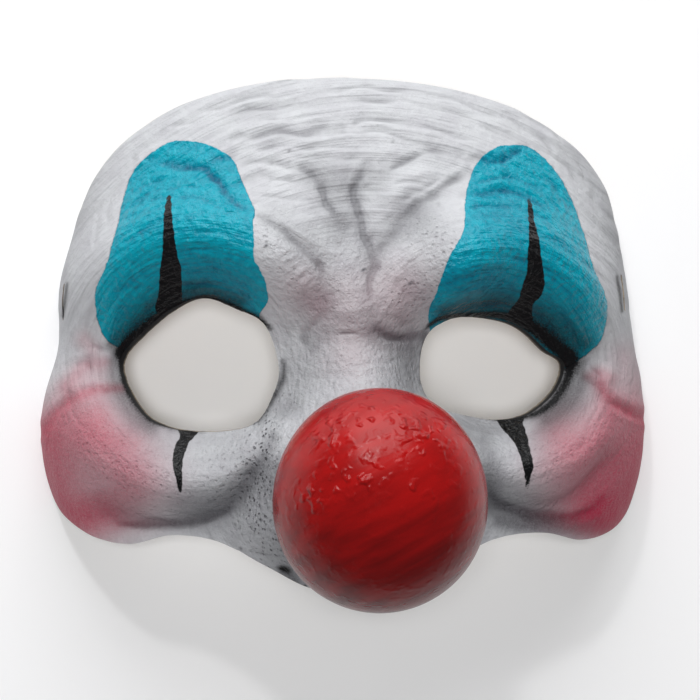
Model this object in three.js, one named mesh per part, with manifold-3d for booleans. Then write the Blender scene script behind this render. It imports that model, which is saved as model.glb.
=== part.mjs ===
// Clown half mask in cast latex, face up on its rim, with a round hollow nose.
// Millimetres. +X runs across the face, +Y up the face to the forehead, +Z out of the face.
// The mask is drawn about the eye line and then set with the middle of its base at the origin.
import * as THREE from 'three';
import { mergeVertices } from 'three/addons/utils/BufferGeometryUtils.js';
import Module from 'manifold-3d';

const wasm = await Module();
wasm.setup();

// Driving sizes of the shell
const LEFT_REACH = 83; // middle of the nose bridge to the widest part of the rim, on the viewer's left
const RIGHT_REACH = 94; // the same on the viewer's right, where the hand-trimmed side is fuller
const FACE_TOP = 82; // eye line to the top edge of the forehead
const CHEEK_DROP = 51; // eye line down to the lowest edge of the cheeks
const LIP_DROP = 63; // eye line down to the edge under the nose
const FACE_DEPTH = 50; // rim plane to the smooth face at the eye line
const WALL = 2; // latex

// Eye holes, one hand-cut outline each
const EYE_SPACING = 83.5; // middle to middle
const EYE_HOLE_WIDTH = 43.6;
const LEFT_EYE_HEIGHT = 37.5;
const RIGHT_EYE_HEIGHT = 29.2;
const RIGHT_EYE_DROP = 1.2; // middle of the right hole under the middle of the left one
const SOCKET_DEPTH = 11; // the face sinks by this much round each hole
const SOCKET_SPREAD = 1.37; // size of the sunken place against the hole

// Hollow ball of the nose and its seat
const BALL_WIDTH = 57;
const BALL_HEIGHT = 59.5;
const BALL_WALL = 2;
const BALL_DROP = 35.6; // eye line down to the ball's middle
const BALL_OFFSET = 2; // the ball sits a little to the viewer's right
const BALL_REACH = 85; // rim plane to the ball's middle
const BALL_MOUTH = 33; // opening at the back of the ball
const BALL_SEAT = 13; // top of the mound under the ball, below the ball's middle
const SEAT_SPREAD = 0.9; // size of the mound against the ball
const SEAM_GAP = 0.3; // between the ball and the edge of the shell that holds it

// Strap slits in the temples
const SLIT_LENGTH = 11;
const SLIT_WIDTH = 1.6;
const SLIT_TILT = 8; // degrees, lower end towards the ear
const LEFT_SLIT_HEIGHT = 18; // above the eye line
const RIGHT_SLIT_HEIGHT = 21;
const LEFT_SLIT_INSET = 10; // above the rim plane
const RIGHT_SLIT_INSET = 17;

// How finely the faces are cut
const COLUMNS = 58;
const ROWS = 36;
const MIDDLE_SPACING = 0.75; // of the columns, against even ones
const BALL_SIDES = 28;
const BALL_STEPS = 12;
const HOLE_POINTS = 44;
const SLIT_END_POINTS = 5;
const PATH_POINTS = 20;
const SAME_POINT = 1e-4; // points nearer than this are one

const HALF_WIDTH = (LEFT_REACH + RIGHT_REACH) / 2;
const FACE_HEIGHT = FACE_TOP + CHEEK_DROP;
const SIDE_OVERRUN = 0.04; // share of a quarter turn that the sides run past the rim plane before the trim

// Level sections of the smooth form: height as a share of FACE_HEIGHT above the cheek edge,
// left and right as shares of LEFT_REACH and RIGHT_REACH, depth as a share of FACE_DEPTH
const SECTIONS = [
  { height: 0.0, left: 0.92, right: 0.92, depth: 0.93 },
  { height: 0.15, left: 0.985, right: 0.985, depth: 0.98 },
  { height: 0.3, left: 1.0, right: 1.0, depth: 1.0 },
  { height: 0.45, left: 0.945, right: 0.965, depth: 1.0 },
  { height: 0.61, left: 0.905, right: 0.935, depth: 0.98 },
  { height: 0.76, left: 0.87, right: 0.89, depth: 0.89 },
  { height: 0.88, left: 0.81, right: 0.81, depth: 0.75 },
  { height: 1.0, left: 0.7, right: 0.69, depth: 0.56 },
];

// Upper edge: turn as a share of the quarter turn from the middle to the side, rise as a share of FACE_TOP
const TOP_EDGE = [
  { turn: 0.0, rise: 1.0 },
  { turn: 0.25, rise: 0.98 },
  { turn: 0.5, rise: 0.91 },
  { turn: 0.72, rise: 0.78 },
  { turn: 0.88, rise: 0.64 },
  { turn: 1.0, rise: 0.5 },
];

// Lower edge: drop as a share of CHEEK_DROP, and its dip under the nose as a share of LIP_DROP - CHEEK_DROP
const LOWER_EDGE = [
  { turn: 0.0, drop: 1.0, dip: 1.0 },
  { turn: 0.1, drop: 1.0, dip: 0.88 },
  { turn: 0.2, drop: 0.98, dip: 0.45 },
  { turn: 0.32, drop: 0.95, dip: 0.05 },
  { turn: 0.45, drop: 0.94, dip: 0.0 },
  { turn: 0.58, drop: 0.99, dip: 0.0 },
  { turn: 0.72, drop: 0.96, dip: 0.0 },
  { turn: 0.87, drop: 0.86, dip: 0.0 },
  { turn: 1.0, drop: 0.74, dip: 0.0 },
];

// Bulges of the face: across as a share of HALF_WIDTH, up as a share of FACE_TOP, their half spans
// as shares of the same, rise as a share of FACE_DEPTH, and how square their shoulder is
const MOUNDS = [
  { name: 'left nostril wing', across: -0.24, up: -0.57, wide: 0.1, tall: 0.13, rise: 0.12, square: 2 },
  { name: 'right nostril wing', across: 0.24, up: -0.57, wide: 0.1, tall: 0.13, rise: 0.12, square: 2 },
  { name: 'left inner brow', across: -0.21, up: 0.37, wide: 0.11, tall: 0.18, rise: 0.09, square: 2 },
  { name: 'right inner brow', across: 0.28, up: 0.36, wide: 0.15, tall: 0.17, rise: 0.13, square: 2.4 },
  { name: 'left cheek', across: -0.8, up: -0.33, wide: 0.2, tall: 0.24, rise: 0.06, square: 2 },
  { name: 'right cheek', across: 0.8, up: -0.33, wide: 0.2, tall: 0.24, rise: 0.06, square: 2 },
];

// Rolls and creases along a path of [across, up] points: width as a share of HALF_WIDTH, rise as a share
// of FACE_DEPTH, below zero for a crease
const FOLDS = [
  { name: 'left brow roll', width: 0.15, rise: 0.19,
    path: [[-0.25, 0.3], [-0.45, 0.46], [-0.68, 0.36], [-0.77, 0.1]] },
  { name: 'right brow roll', width: 0.15, rise: 0.19,
    path: [[0.27, 0.27], [0.47, 0.42], [0.68, 0.32], [0.77, 0.07]] },
  { name: 'left brow crease', width: 0.045, rise: -0.05,
    path: [[-0.64, 0.7], [-0.5, 0.67], [-0.38, 0.62], [-0.28, 0.5]] },
  { name: 'right brow crease', width: 0.045, rise: -0.04,
    path: [[0.34, 0.57], [0.46, 0.59], [0.58, 0.57], [0.68, 0.5]] },
  { name: 'left cheek roll', width: 0.12, rise: 0.14,
    path: [[-0.26, -0.22], [-0.42, -0.38], [-0.64, -0.36], [-0.8, -0.12]] },
  { name: 'right cheek roll', width: 0.12, rise: 0.14,
    path: [[0.26, -0.22], [0.44, -0.36], [0.66, -0.34], [0.8, -0.12]] },
  { name: 'left cheek fold', width: 0.05, rise: -0.08,
    path: [[-0.28, -0.34], [-0.38, -0.48], [-0.57, -0.54], [-0.76, -0.52]] },
  { name: 'right cheek fold', width: 0.05, rise: -0.08,
    path: [[0.32, -0.42], [0.5, -0.49], [0.7, -0.49], [0.84, -0.33]] },
  { name: 'bridge', width: 0.16, rise: 0.17,
    path: [[0.01, 0.3], [0.01, 0.0], [0.0, -0.3], [0.0, -0.45]] },
  { name: 'root crease', width: 0.055, rise: -0.05,
    path: [[-0.19, 0.12], [-0.06, 0.09], [0.08, 0.09], [0.2, 0.13]] },
  { name: 'left frown crease', width: 0.05, rise: -0.07,
    path: [[-0.26, 0.55], [-0.14, 0.51], [-0.08, 0.42], [-0.06, 0.33]] },
  { name: 'left inner crease', width: 0.05, rise: -0.07,
    path: [[-0.3, 0.47], [-0.19, 0.42], [-0.14, 0.33], [-0.13, 0.2]] },
  { name: 'right frown crease', width: 0.055, rise: -0.1,
    path: [[0.4, 0.61], [0.25, 0.52], [0.13, 0.42], [0.1, 0.22]] },
  { name: 'right upper crease', width: 0.04, rise: -0.04,
    path: [[0.04, 0.63], [0.13, 0.7], [0.27, 0.73], [0.4, 0.68]] },
  { name: 'lower forehead crease', width: 0.035, rise: -0.025,
    path: [[-0.4, 0.7], [-0.22, 0.71], [-0.1, 0.69], [0.02, 0.66]] },
  { name: 'middle forehead crease', width: 0.035, rise: -0.025,
    path: [[-0.45, 0.8], [-0.15, 0.82], [0.14, 0.83], [0.5, 0.74]] },
  { name: 'upper forehead crease', width: 0.035, rise: -0.025,
    path: [[-0.5, 0.88], [-0.15, 0.93], [0.15, 0.92], [0.5, 0.83]] },
];

// Outline of each eye hole: out as a share of half the hole's width towards the temple,
// up as a share of half its height
const LEFT_EYE = [
  { out: 1.0, up: 0.03 }, { out: 0.65, up: 0.56 }, { out: 0.22, up: 0.92 }, { out: -0.08, up: 1.0 },
  { out: -0.45, up: 0.84 }, { out: -0.82, up: 0.6 }, { out: -1.0, up: 0.0 }, { out: -0.92, up: -0.45 },
  { out: -0.65, up: -0.88 }, { out: -0.12, up: -1.0 }, { out: 0.43, up: -0.93 }, { out: 0.78, up: -0.66 },
];
const RIGHT_EYE = [
  { out: 1.0, up: 0.1 }, { out: 0.74, up: 0.37 }, { out: 0.42, up: 0.77 }, { out: 0.05, up: 0.96 },
  { out: -0.5, up: 1.0 }, { out: -0.88, up: 0.74 }, { out: -1.0, up: 0.2 }, { out: -0.97, up: -0.45 },
  { out: -0.72, up: -0.76 }, { out: -0.3, up: -0.93 }, { out: 0.1, up: -1.0 }, { out: 0.5, up: -0.88 },
  { out: 0.88, up: -0.42 },
];

// A smooth curve through a table's rows: value of one column where the key column has the given value
function through(rows, key, at, column) {
  const last = rows.length - 1;
  let i = 0;
  while (i < last - 1 && at > rows[i + 1][key]) i += 1;
  const [a, b, c, d] = [Math.max(i - 1, 0), i, i + 1, Math.min(i + 2, last)].map((n) => rows[n]);
  const slope = (p, q) => (p === q ? 0 : (q[column] - p[column]) / (q[key] - p[key]));
  const span = c[key] - b[key];
  const t = THREE.MathUtils.clamp((at - b[key]) / span, 0, 1);
  const start = a === b ? slope(b, c) : slope(a, c);
  const end = c === d ? slope(b, c) : slope(b, d);
  const cubed = t * t * t;
  const squared = t * t;
  return (2 * cubed - 3 * squared + 1) * b[column] + (cubed - 2 * squared + t) * span * start +
    (3 * squared - 2 * cubed) * c[column] + (cubed - squared) * span * end;
}

const sizeAt = (y) => {
  const height = (y + CHEEK_DROP) / FACE_HEIGHT;
  return {
    left: LEFT_REACH * through(SECTIONS, 'height', height, 'left'),
    right: RIGHT_REACH * through(SECTIONS, 'height', height, 'right'),
    depth: FACE_DEPTH * through(SECTIONS, 'height', height, 'depth'),
  };
};
const topAt = (turn) => FACE_TOP * through(TOP_EDGE, 'turn', Math.abs(turn), 'rise');
const lowAt = (turn) => {
  const drop = CHEEK_DROP * through(LOWER_EDGE, 'turn', Math.abs(turn), 'drop');
  const dip = (LIP_DROP - CHEEK_DROP) * through(LOWER_EDGE, 'turn', Math.abs(turn), 'dip');
  return -drop - Math.max(dip, 0);
};

// The smooth form is half an ellipse at each level. turn is 0 in the middle and 1 at the side.
function smoothPoint(turn, y) {
  const angle = turn * Math.PI / 2;
  const { left, right, depth } = sizeAt(y);
  return new THREE.Vector3((turn < 0 ? left : right) * Math.sin(angle), y, depth * Math.cos(angle));
}

function smoothNormal(turn, y) {
  const step = 0.5; // mm up and, as a turn, round the face
  const round = step / HALF_WIDTH;
  const across = smoothPoint(turn + round, y).sub(smoothPoint(turn - round, y));
  const up = smoothPoint(turn, y + step).sub(smoothPoint(turn, y - step));
  return across.cross(up).normalize();
}

// Each fold as a row of evenly spaced bells along its path, which add up to an even roll
const foldPaths = FOLDS.map(({ path, width, rise }) => {
  const corners = path.map(([across, up]) => new THREE.Vector2(across * HALF_WIDTH, up * FACE_TOP));
  const curve = new THREE.SplineCurve(corners);
  const points = curve.getSpacedPoints(PATH_POINTS);
  const spacing = curve.getLength() / PATH_POINTS;
  return { rise: rise * FACE_DEPTH, width: width * HALF_WIDTH, points, spacing };
});

// The bulges in millimetres, with the hollows round the eye holes and the mound under the ball
const bumps = [
  ...MOUNDS.map(({ across, up, wide, tall, rise, square }) => ({
    x: across * HALF_WIDTH,
    y: up * FACE_TOP,
    wide: wide * HALF_WIDTH,
    tall: tall * FACE_TOP,
    rise: rise * FACE_DEPTH,
    square,
  })),
  socket(-EYE_SPACING / 2, 0, LEFT_EYE_HEIGHT),
  socket(EYE_SPACING / 2, -RIGHT_EYE_DROP, RIGHT_EYE_HEIGHT),
  {
    x: BALL_OFFSET,
    y: -BALL_DROP,
    wide: SEAT_SPREAD * BALL_WIDTH / 2,
    tall: SEAT_SPREAD * BALL_HEIGHT / 2,
    rise: BALL_REACH - BALL_SEAT - FACE_DEPTH,
    square: 3.4,
  },
];

function socket(x, y, height) {
  const [wide, tall] = [SOCKET_SPREAD * EYE_HOLE_WIDTH / 2, SOCKET_SPREAD * height / 2];
  return { x, y, wide, tall, rise: -SOCKET_DEPTH, square: 4 };
}

// How far the sculpted face stands off the smooth form at a place seen from the front
function relief(x, y) {
  let rise = 0;
  for (const bump of bumps) {
    const away = Math.hypot((x - bump.x) / bump.wide, (y - bump.y) / bump.tall);
    rise += bump.rise * Math.exp(-(away ** bump.square));
  }
  for (const { rise: height, width, points, spacing } of foldPaths) {
    const bell = (p) => Math.exp(-((p.x - x) ** 2 + (p.y - y) ** 2) / (width * width));
    const bells = points.reduce((sum, p) => sum + bell(p), 0);
    rise += height * bells * spacing / (width * Math.sqrt(Math.PI));
  }
  return rise;
}

// The wall keeps its thickness on a slope, measured square to the sculpted face
function wallDepth(x, y) {
  const step = 1;
  const slopeX = (relief(x + step, y) - relief(x - step, y)) / (2 * step);
  const slopeY = (relief(x, y + step) - relief(x, y - step)) / (2 * step);
  return WALL * Math.min(Math.hypot(1, slopeX, slopeY), 2);
}

function shellPoint(turn, share, inner) {
  const y = THREE.MathUtils.lerp(lowAt(turn), topAt(turn), share);
  const point = smoothPoint(turn, y);
  const offset = relief(point.x, y) - (inner ? wallDepth(point.x, y) : 0);
  return point.addScaledVector(smoothNormal(turn, y), offset);
}

// Turn of a column of the grid, with the columns closer together in the middle of the face
function turnAt(column) {
  const share = 2 * column / COLUMNS - 1;
  return share * (MIDDLE_SPACING + (1 - MIDDLE_SPACING) * share * share) * (1 + SIDE_OVERRUN);
}

// A closed sheet: the outer grid, the inner grid turned round, and the strip between them all the way round.
// Each square is cut along the diagonal that lies nearer the form.
function shellGeometry() {
  const points = [];
  for (const inner of [false, true]) {
    for (let row = 0; row <= ROWS; row += 1) {
      for (let column = 0; column <= COLUMNS; column += 1) {
        points.push(shellPoint(turnAt(column), row / ROWS, inner));
      }
    }
  }
  const layer = (ROWS + 1) * (COLUMNS + 1);
  const at = (row, column) => row * (COLUMNS + 1) + column;
  const faces = [];
  const quad = (a, b, c, d) => faces.push(a, b, c, a, c, d);
  for (let row = 0; row < ROWS; row += 1) {
    for (let column = 0; column < COLUMNS; column += 1) {
      const [a, b, c, d] = [at(row, column), at(row, column + 1), at(row + 1, column + 1), at(row + 1, column)];
      const form = shellPoint(turnAt(column + 0.5), (row + 0.5) / ROWS, false);
      const miss = (p, q) => points[p].clone().lerp(points[q], 0.5).distanceTo(form);
      if (miss(a, c) < miss(b, d)) {
        quad(a, b, c, d);
        quad(c + layer, b + layer, a + layer, d + layer);
      } else {
        quad(b, c, d, a);
        quad(d + layer, c + layer, b + layer, a + layer);
      }
    }
  }
  const strip = (a, b) => quad(b, a, a + layer, b + layer);
  for (let column = 0; column < COLUMNS; column += 1) {
    strip(at(0, column), at(0, column + 1));
    strip(at(ROWS, column + 1), at(ROWS, column));
  }
  for (let row = 0; row < ROWS; row += 1) {
    strip(at(row + 1, 0), at(row, 0));
    strip(at(row, COLUMNS), at(row + 1, COLUMNS));
  }
  return new THREE.BufferGeometry().setFromPoints(points).setIndex(faces);
}

function solid(geometry) {
  const bare = geometry.clone();
  bare.deleteAttribute('normal');
  bare.deleteAttribute('uv');
  const merged = mergeVertices(bare, SAME_POINT);
  const vertProperties = new Float32Array(merged.attributes.position.array);
  const triVerts = new Uint32Array(merged.index.array);
  return new wasm.Manifold(new wasm.Mesh({ numProp: 3, vertProperties, triVerts }));
}

function meshOf(name, shape, material) {
  const { vertProperties, triVerts } = shape.getMesh();
  const geometry = new THREE.BufferGeometry();
  geometry.setAttribute('position', new THREE.Float32BufferAttribute(vertProperties, 3));
  geometry.setIndex(new THREE.Uint32BufferAttribute(triVerts, 1));
  geometry.computeVertexNormals();
  const mesh = new THREE.Mesh(geometry, material);
  mesh.name = name;
  return mesh;
}

// A straight cutter along +Z, through the whole depth of the face, from an outline seen from the front
function frontCutter(outline) {
  const depth = 2 * (FACE_DEPTH + BALL_REACH);
  const geometry = new THREE.ExtrudeGeometry(new THREE.Shape(outline), { depth, bevelEnabled: false });
  return solid(geometry.translate(0, 0, -depth / 4));
}

function eyeHole(side, rows, height, drop) {
  const middle = new THREE.Vector2(side * EYE_SPACING / 2, -drop);
  const corners = rows.map(({ out, up }) =>
    new THREE.Vector3(middle.x + side * out * EYE_HOLE_WIDTH / 2, middle.y + up * height / 2, 0));
  const curve = new THREE.CatmullRomCurve3(corners, true, 'centripetal');
  return frontCutter(curve.getPoints(HOLE_POINTS).slice(0, -1).map((p) => new THREE.Vector2(p.x, p.y)));
}

// A rounded slot cut square through the side of the temple
function strapSlit(side, height, inset) {
  const radius = SLIT_WIDTH / 2;
  const reach = SLIT_LENGTH / 2 - radius;
  const shape = new THREE.Shape();
  shape.absarc(0, reach, radius, 0, Math.PI);
  shape.absarc(0, -reach, radius, Math.PI, 2 * Math.PI);
  const options = { depth: HALF_WIDTH, bevelEnabled: false, curveSegments: SLIT_END_POINTS };
  const geometry = new THREE.ExtrudeGeometry(shape, options);
  geometry.rotateZ(side * THREE.MathUtils.degToRad(SLIT_TILT));
  geometry.rotateY(side * Math.PI / 2);
  return solid(geometry.translate(side * HALF_WIDTH / 2, height, inset));
}

// The ball's form, hollow with its mouth at the back, or solid where the wall is 0. grow widens it all round.
function ballForm(wall, grow) {
  const outer = BALL_WIDTH / 2 + grow;
  const inner = BALL_WIDTH / 2 - wall;
  const mouthAt = (radius) => Math.PI - Math.asin(BALL_MOUTH / 2 / radius);
  const profile = [];
  const arc = (radius, from, to) => {
    for (let i = 0; i <= BALL_STEPS; i += 1) {
      const angle = THREE.MathUtils.lerp(from, to, i / BALL_STEPS);
      profile.push(new THREE.Vector2(radius * Math.sin(angle), -radius * Math.cos(angle)));
    }
  };
  if (wall > 0) {
    arc(outer, Math.PI - mouthAt(outer), Math.PI);
    arc(inner, Math.PI, Math.PI - mouthAt(inner));
    profile.push(profile[0].clone());
  } else {
    arc(outer, 0, Math.PI);
  }
  // the ends on the ball's axis lie on it exactly
  profile.forEach((p) => {
    if (Math.abs(p.x) < SAME_POINT) p.x = 0;
  });
  const geometry = new THREE.LatheGeometry(profile, BALL_SIDES);
  geometry.rotateX(Math.PI / 2);
  geometry.scale(1, (BALL_HEIGHT / 2 + grow) / outer, 1);
  return solid(geometry.translate(BALL_OFFSET, -BALL_DROP, BALL_REACH));
}

function faceShell() {
  const below = new THREE.BoxGeometry(4 * HALF_WIDTH, 4 * FACE_HEIGHT, FACE_DEPTH);
  const trim = solid(below.translate(0, 0, -FACE_DEPTH / 2));
  return solid(shellGeometry())
    .subtract(trim)
    .subtract(eyeHole(-1, LEFT_EYE, LEFT_EYE_HEIGHT, 0))
    .subtract(eyeHole(1, RIGHT_EYE, RIGHT_EYE_HEIGHT, RIGHT_EYE_DROP))
    .subtract(strapSlit(-1, LEFT_SLIT_HEIGHT, LEFT_SLIT_INSET))
    .subtract(strapSlit(1, RIGHT_SLIT_HEIGHT, RIGHT_SLIT_INSET))
    .subtract(ballForm(0, SEAM_GAP));
}

const mask = new THREE.Group();
mask.add(meshOf('face_shell', faceShell(), new THREE.MeshStandardMaterial({
  color: 0xd4d2d6, roughness: 0.55, metalness: 0,
})));
mask.add(meshOf('nose_ball', ballForm(BALL_WALL, 0), new THREE.MeshStandardMaterial({
  color: 0xa01414, roughness: 0.25, metalness: 0,
})));

// Origin under the middle of the mask, on the surface that its rim rests on
const extent = new THREE.Box3().setFromObject(mask);
const middle = extent.getCenter(new THREE.Vector3());
mask.position.set(-middle.x, -middle.y, -extent.min.z);

export default mask;
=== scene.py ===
"""Dresses a clown half mask: painted latex face, glossy ball nose, pale floor, soft light and camera.

Lengths are in metres, in the frame of the solids: +X across the face, +Y up to the forehead, +Z out of the
face, with the rim on the floor at z = 0. The face itself is drawn about its eye line. Places of bulges and
folds are shares of named sizes, as in the solids. Places of paint and fine creases are points of the
picture, which is 700 points wide and high, counted from its upper left corner.
"""

import math

import bpy
import numpy as np
from bpy.props import FloatProperty, FloatVectorProperty, IntProperty, PointerProperty
from mathutils import Matrix, Vector


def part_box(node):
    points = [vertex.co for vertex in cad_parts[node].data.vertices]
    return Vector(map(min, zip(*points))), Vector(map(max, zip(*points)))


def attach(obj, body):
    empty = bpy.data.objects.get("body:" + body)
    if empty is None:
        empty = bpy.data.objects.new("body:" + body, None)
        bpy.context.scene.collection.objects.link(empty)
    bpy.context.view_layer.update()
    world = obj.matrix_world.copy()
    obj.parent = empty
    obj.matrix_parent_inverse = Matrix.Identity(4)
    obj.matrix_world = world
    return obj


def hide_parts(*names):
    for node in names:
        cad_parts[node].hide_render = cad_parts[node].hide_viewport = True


bl_info = {
    "name": "Clown half mask",
    "version": (1, 0, 0),
    "blender": (4, 5, 0),
    "location": "3D View > Sidebar > Mask",
    "description": "Builds a painted latex clown mask with a ball nose on a pale floor",
    "category": "Object",
}

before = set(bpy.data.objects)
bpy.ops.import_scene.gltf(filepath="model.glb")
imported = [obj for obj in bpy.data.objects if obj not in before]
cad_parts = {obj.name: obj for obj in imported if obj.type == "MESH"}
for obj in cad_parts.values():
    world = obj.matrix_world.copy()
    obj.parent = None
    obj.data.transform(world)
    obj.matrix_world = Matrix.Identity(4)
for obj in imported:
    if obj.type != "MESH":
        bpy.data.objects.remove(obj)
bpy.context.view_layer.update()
BALL_BOX = np.array([list(corner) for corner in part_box("nose_ball")])

MM = 0.001
PICTURE = 700  # points across and down
AIM_ACROSS, AIM_UP = -3, 15  # from the eye line's middle to the picture's middle, in points
SENSOR_MM = 36  # the camera's default sensor width


def linear(code):
    """An sRGB colour such as #D2D3D6 as linear red, green and blue."""
    shares = [int(code[i : i + 2], 16) / 255 for i in (1, 3, 5)]
    return tuple(v / 12.92 if v <= 0.04045 else ((v + 0.055) / 1.055) ** 2.4 for v in shares)


def length(name, description, default):
    """A length that a user can change, in metres."""
    return FloatProperty(name=name, description=description, default=default, min=0, unit="LENGTH")


def power(name, description, default):
    """The power of a light that a user can change, in watts."""
    return FloatProperty(name=name, description=description, default=default, unit="POWER")


def colour(name, description, code):
    """A colour that a user can change."""
    return FloatVectorProperty(
        name=name, description=description, default=linear(code), subtype="COLOR", min=0, max=1
    )


class MASK_PG_face(bpy.types.PropertyGroup):
    """Sizes of the latex face. Left and right are the viewer's."""

    left_reach: length("Left reach", "Nose bridge to the left rim", 0.083)
    right_reach: length("Right reach", "Nose bridge to the right rim", 0.094)
    top: length("Top", "Eye line to the forehead's edge", 0.082)
    cheek_drop: length("Cheek drop", "Eye line to the cheeks' lower edge", 0.051)
    lip_drop: length("Lip drop", "Eye line to the edge under the nose", 0.063)
    depth: length("Depth", "Rim to the smooth face", 0.05)
    wall: length("Wall", "Thickness of the latex", 0.002)
    eye_spacing: length("Eye spacing", "Middle to middle of the eye holes", 0.0835)
    eye_width: length("Eye hole width", "Width of each eye hole", 0.0436)
    left_eye_height: length("Left eye height", "Height of the left eye hole", 0.0375)
    right_eye_height: length("Right eye height", "Height of the right eye hole", 0.0292)
    right_eye_drop: length("Right eye drop", "Right hole under the left one", 0.0012)
    socket_depth: length("Socket depth", "Hollow round each eye hole", 0.011)
    socket_spread: FloatProperty(name="Socket spread", description="Hollow against its hole", default=1.37)
    slit_length: length("Slit length", "Strap slit in each temple", 0.011)
    slit_width: length("Slit width", "Strap slit in each temple", 0.0016)
    columns: IntProperty(name="Columns", description="Grid squares across the face", default=270, min=40)
    rows: IntProperty(name="Rows", description="Grid squares up the face", default=176, min=30)


class MASK_PG_ball(bpy.types.PropertyGroup):
    """Sizes of the hollow ball of the nose."""

    width: length("Width", "Across the ball", 0.057)
    height: length("Height", "Up the ball", 0.0595)
    wall: length("Wall", "Thickness of the ball", 0.002)
    drop: length("Drop", "Eye line to the ball's middle", 0.0356)
    offset: length("Offset", "The ball's middle to the right of the bridge", 0.002)
    reach: length("Reach", "Rim to the ball's middle", 0.085)
    mouth: length("Mouth", "Opening at the back", 0.033)
    seat: length("Seat", "Mound's top under the ball's middle", 0.013)
    seat_spread: FloatProperty(name="Seat spread", description="Mound against the ball", default=0.9)
    gap: length("Gap", "Between ball and shell", 0.0003)
    columns: IntProperty(name="Columns", description="Grid squares round the ball", default=240, min=12)
    rows: IntProperty(name="Rows", description="Grid squares from the mouth to the tip", default=150, min=8)


class MASK_PG_paint(bpy.types.PropertyGroup):
    """Colours of the paint and of the bare latex. Grime, black, deep teal and maroon also lay painted shade.
    """

    white: colour("White", "Ground paint of the face", "#C6C9CB")
    shade: colour("Shade", "Thinner ground paint", "#A9A8AE")
    # grey airbrush, and painted shade in the creases, hollows and undersides; also the dirt of the specks and
    # of the cut edges
    grime_and_shade: colour("Grime", "Grey airbrush in the creases", "#47464B")
    teal: colour("Teal", "Patches over the brows", "#0096AA")
    # deep teal lays painted shade in the teal's hollows and valleys, and is the teal's thicker paint
    deep_teal: colour("Deep teal", "Teal in hollows", "#005672")
    blush: colour("Blush", "Red airbrush on the cheeks", "#A61C3E")
    # black also lays painted shade under the brows, along the rims of the eye holes, in the dimple beside the
    # ball and round the strap slits
    black: colour("Black", "Slits and the airbrush round the eyes", "#0A0A0C")
    latex: colour("Latex", "Bare cast latex inside", "#D3C3A4")
    cut: colour("Cut", "Cut edge of the latex", "#9C9080")
    red: colour("Red", "Paint of the ball", "#A00C0C")
    # maroon lays painted shade towards the ball's underside, besides its darker brush streaks
    maroon: colour("Maroon", "Thicker red of the ball's underside", "#4C0506")


class MASK_PG_stage(bpy.types.PropertyGroup):
    """Camera and light."""

    yaw: FloatProperty(name="Yaw", description="Turn of the face", default=math.radians(8), subtype="ANGLE")
    distance: length("Distance", "Camera to the eye line", 0.72)
    point: length("Point", "Size of a picture point at the eye line", 0.278 * MM)
    eye_level: length("Eye level", "Eye line above the floor", 0.048)
    key_power: power("Key power", "Softbox over the forehead", 12.5)
    top_power: power("Top power", "Softbox behind the camera", 13.5)
    lamp_power: power("Lamp power", "Small lamp for glints", 2)
    sky: FloatProperty(name="Sky", description="Brightness of the room", default=0.18)
    floor_tint: colour("Floor", "Floor", "#F8F8F9")


# Level sections of the smooth form: height above the cheek edge, reach to each side and depth, as shares
SECTIONS = {
    "height": (0.0, 0.15, 0.3, 0.45, 0.61, 0.76, 0.88, 1.0),
    "left": (0.92, 0.985, 1.0, 0.945, 0.905, 0.87, 0.81, 0.7),
    "right": (0.92, 0.985, 1.0, 0.965, 0.935, 0.89, 0.81, 0.69),
    "depth": (0.93, 0.98, 1.0, 1.0, 0.98, 0.89, 0.75, 0.56),
}

# Edges of the face by how far they have turned from its middle: the top edge's rise, the lower edge's drop
# and its part in the dip under the nose
TOP_EDGE = {"turn": (0.0, 0.25, 0.5, 0.72, 0.88, 1.0), "rise": (1.0, 0.98, 0.91, 0.78, 0.64, 0.5)}
LOWER_EDGE = {
    "turn": (0.0, 0.1, 0.2, 0.32, 0.45, 0.58, 0.72, 0.87, 1.0),
    "drop": (1.0, 1.0, 0.98, 0.95, 0.94, 0.99, 0.96, 0.86, 0.74),
    "dip": (1.0, 0.88, 0.45, 0.05, 0.0, 0.0, 0.0, 0.0, 0.0),
}

# Bulges: across, up, half width, half height, rise, how square the shoulder is
MOUNDS = (
    (-0.24, -0.57, 0.1, 0.13, 0.12, 2),  # wings of the nose
    (0.24, -0.57, 0.1, 0.13, 0.12, 2),
    (-0.21, 0.37, 0.11, 0.18, 0.09, 2),  # inner brows
    (0.28, 0.36, 0.15, 0.17, 0.13, 2.4),
    (-0.8, -0.33, 0.2, 0.24, 0.06, 2),  # cheeks
    (0.8, -0.33, 0.2, 0.24, 0.06, 2),
)
SOCKET_SQUARE = 4  # how square the hollows round the eye holes are
SEAT_SQUARE = 3.4  # and the mound under the ball
WALL_STRETCH = 2  # the most that a steep slope multiplies the wall's depth by
SHARP_FROM = math.radians(55)  # edges that turn by more are shaded sharp

# Rolls and furrows: path of (across, up), width, rise
FOLDS = (
    (((-0.25, 0.3), (-0.45, 0.46), (-0.68, 0.36), (-0.77, 0.1)), 0.15, 0.19),  # brow rolls
    (((0.27, 0.27), (0.47, 0.42), (0.68, 0.32), (0.77, 0.07)), 0.15, 0.19),
    (((-0.26, -0.22), (-0.42, -0.38), (-0.64, -0.36), (-0.8, -0.12)), 0.12, 0.14),  # cheek rolls
    (((0.26, -0.22), (0.44, -0.36), (0.66, -0.34), (0.8, -0.12)), 0.12, 0.14),
    (((-0.28, -0.34), (-0.38, -0.48), (-0.57, -0.54), (-0.76, -0.52)), 0.05, -0.08),  # cheek folds
    (((0.32, -0.42), (0.5, -0.49), (0.7, -0.49), (0.84, -0.33)), 0.05, -0.08),
    (((0.01, 0.3), (0.01, 0.0), (0.0, -0.3), (0.0, -0.45)), 0.16, 0.17),  # bridge
    (((-0.19, 0.12), (-0.06, 0.09), (0.08, 0.09), (0.2, 0.13)), 0.055, -0.05),  # root crease
)

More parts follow.
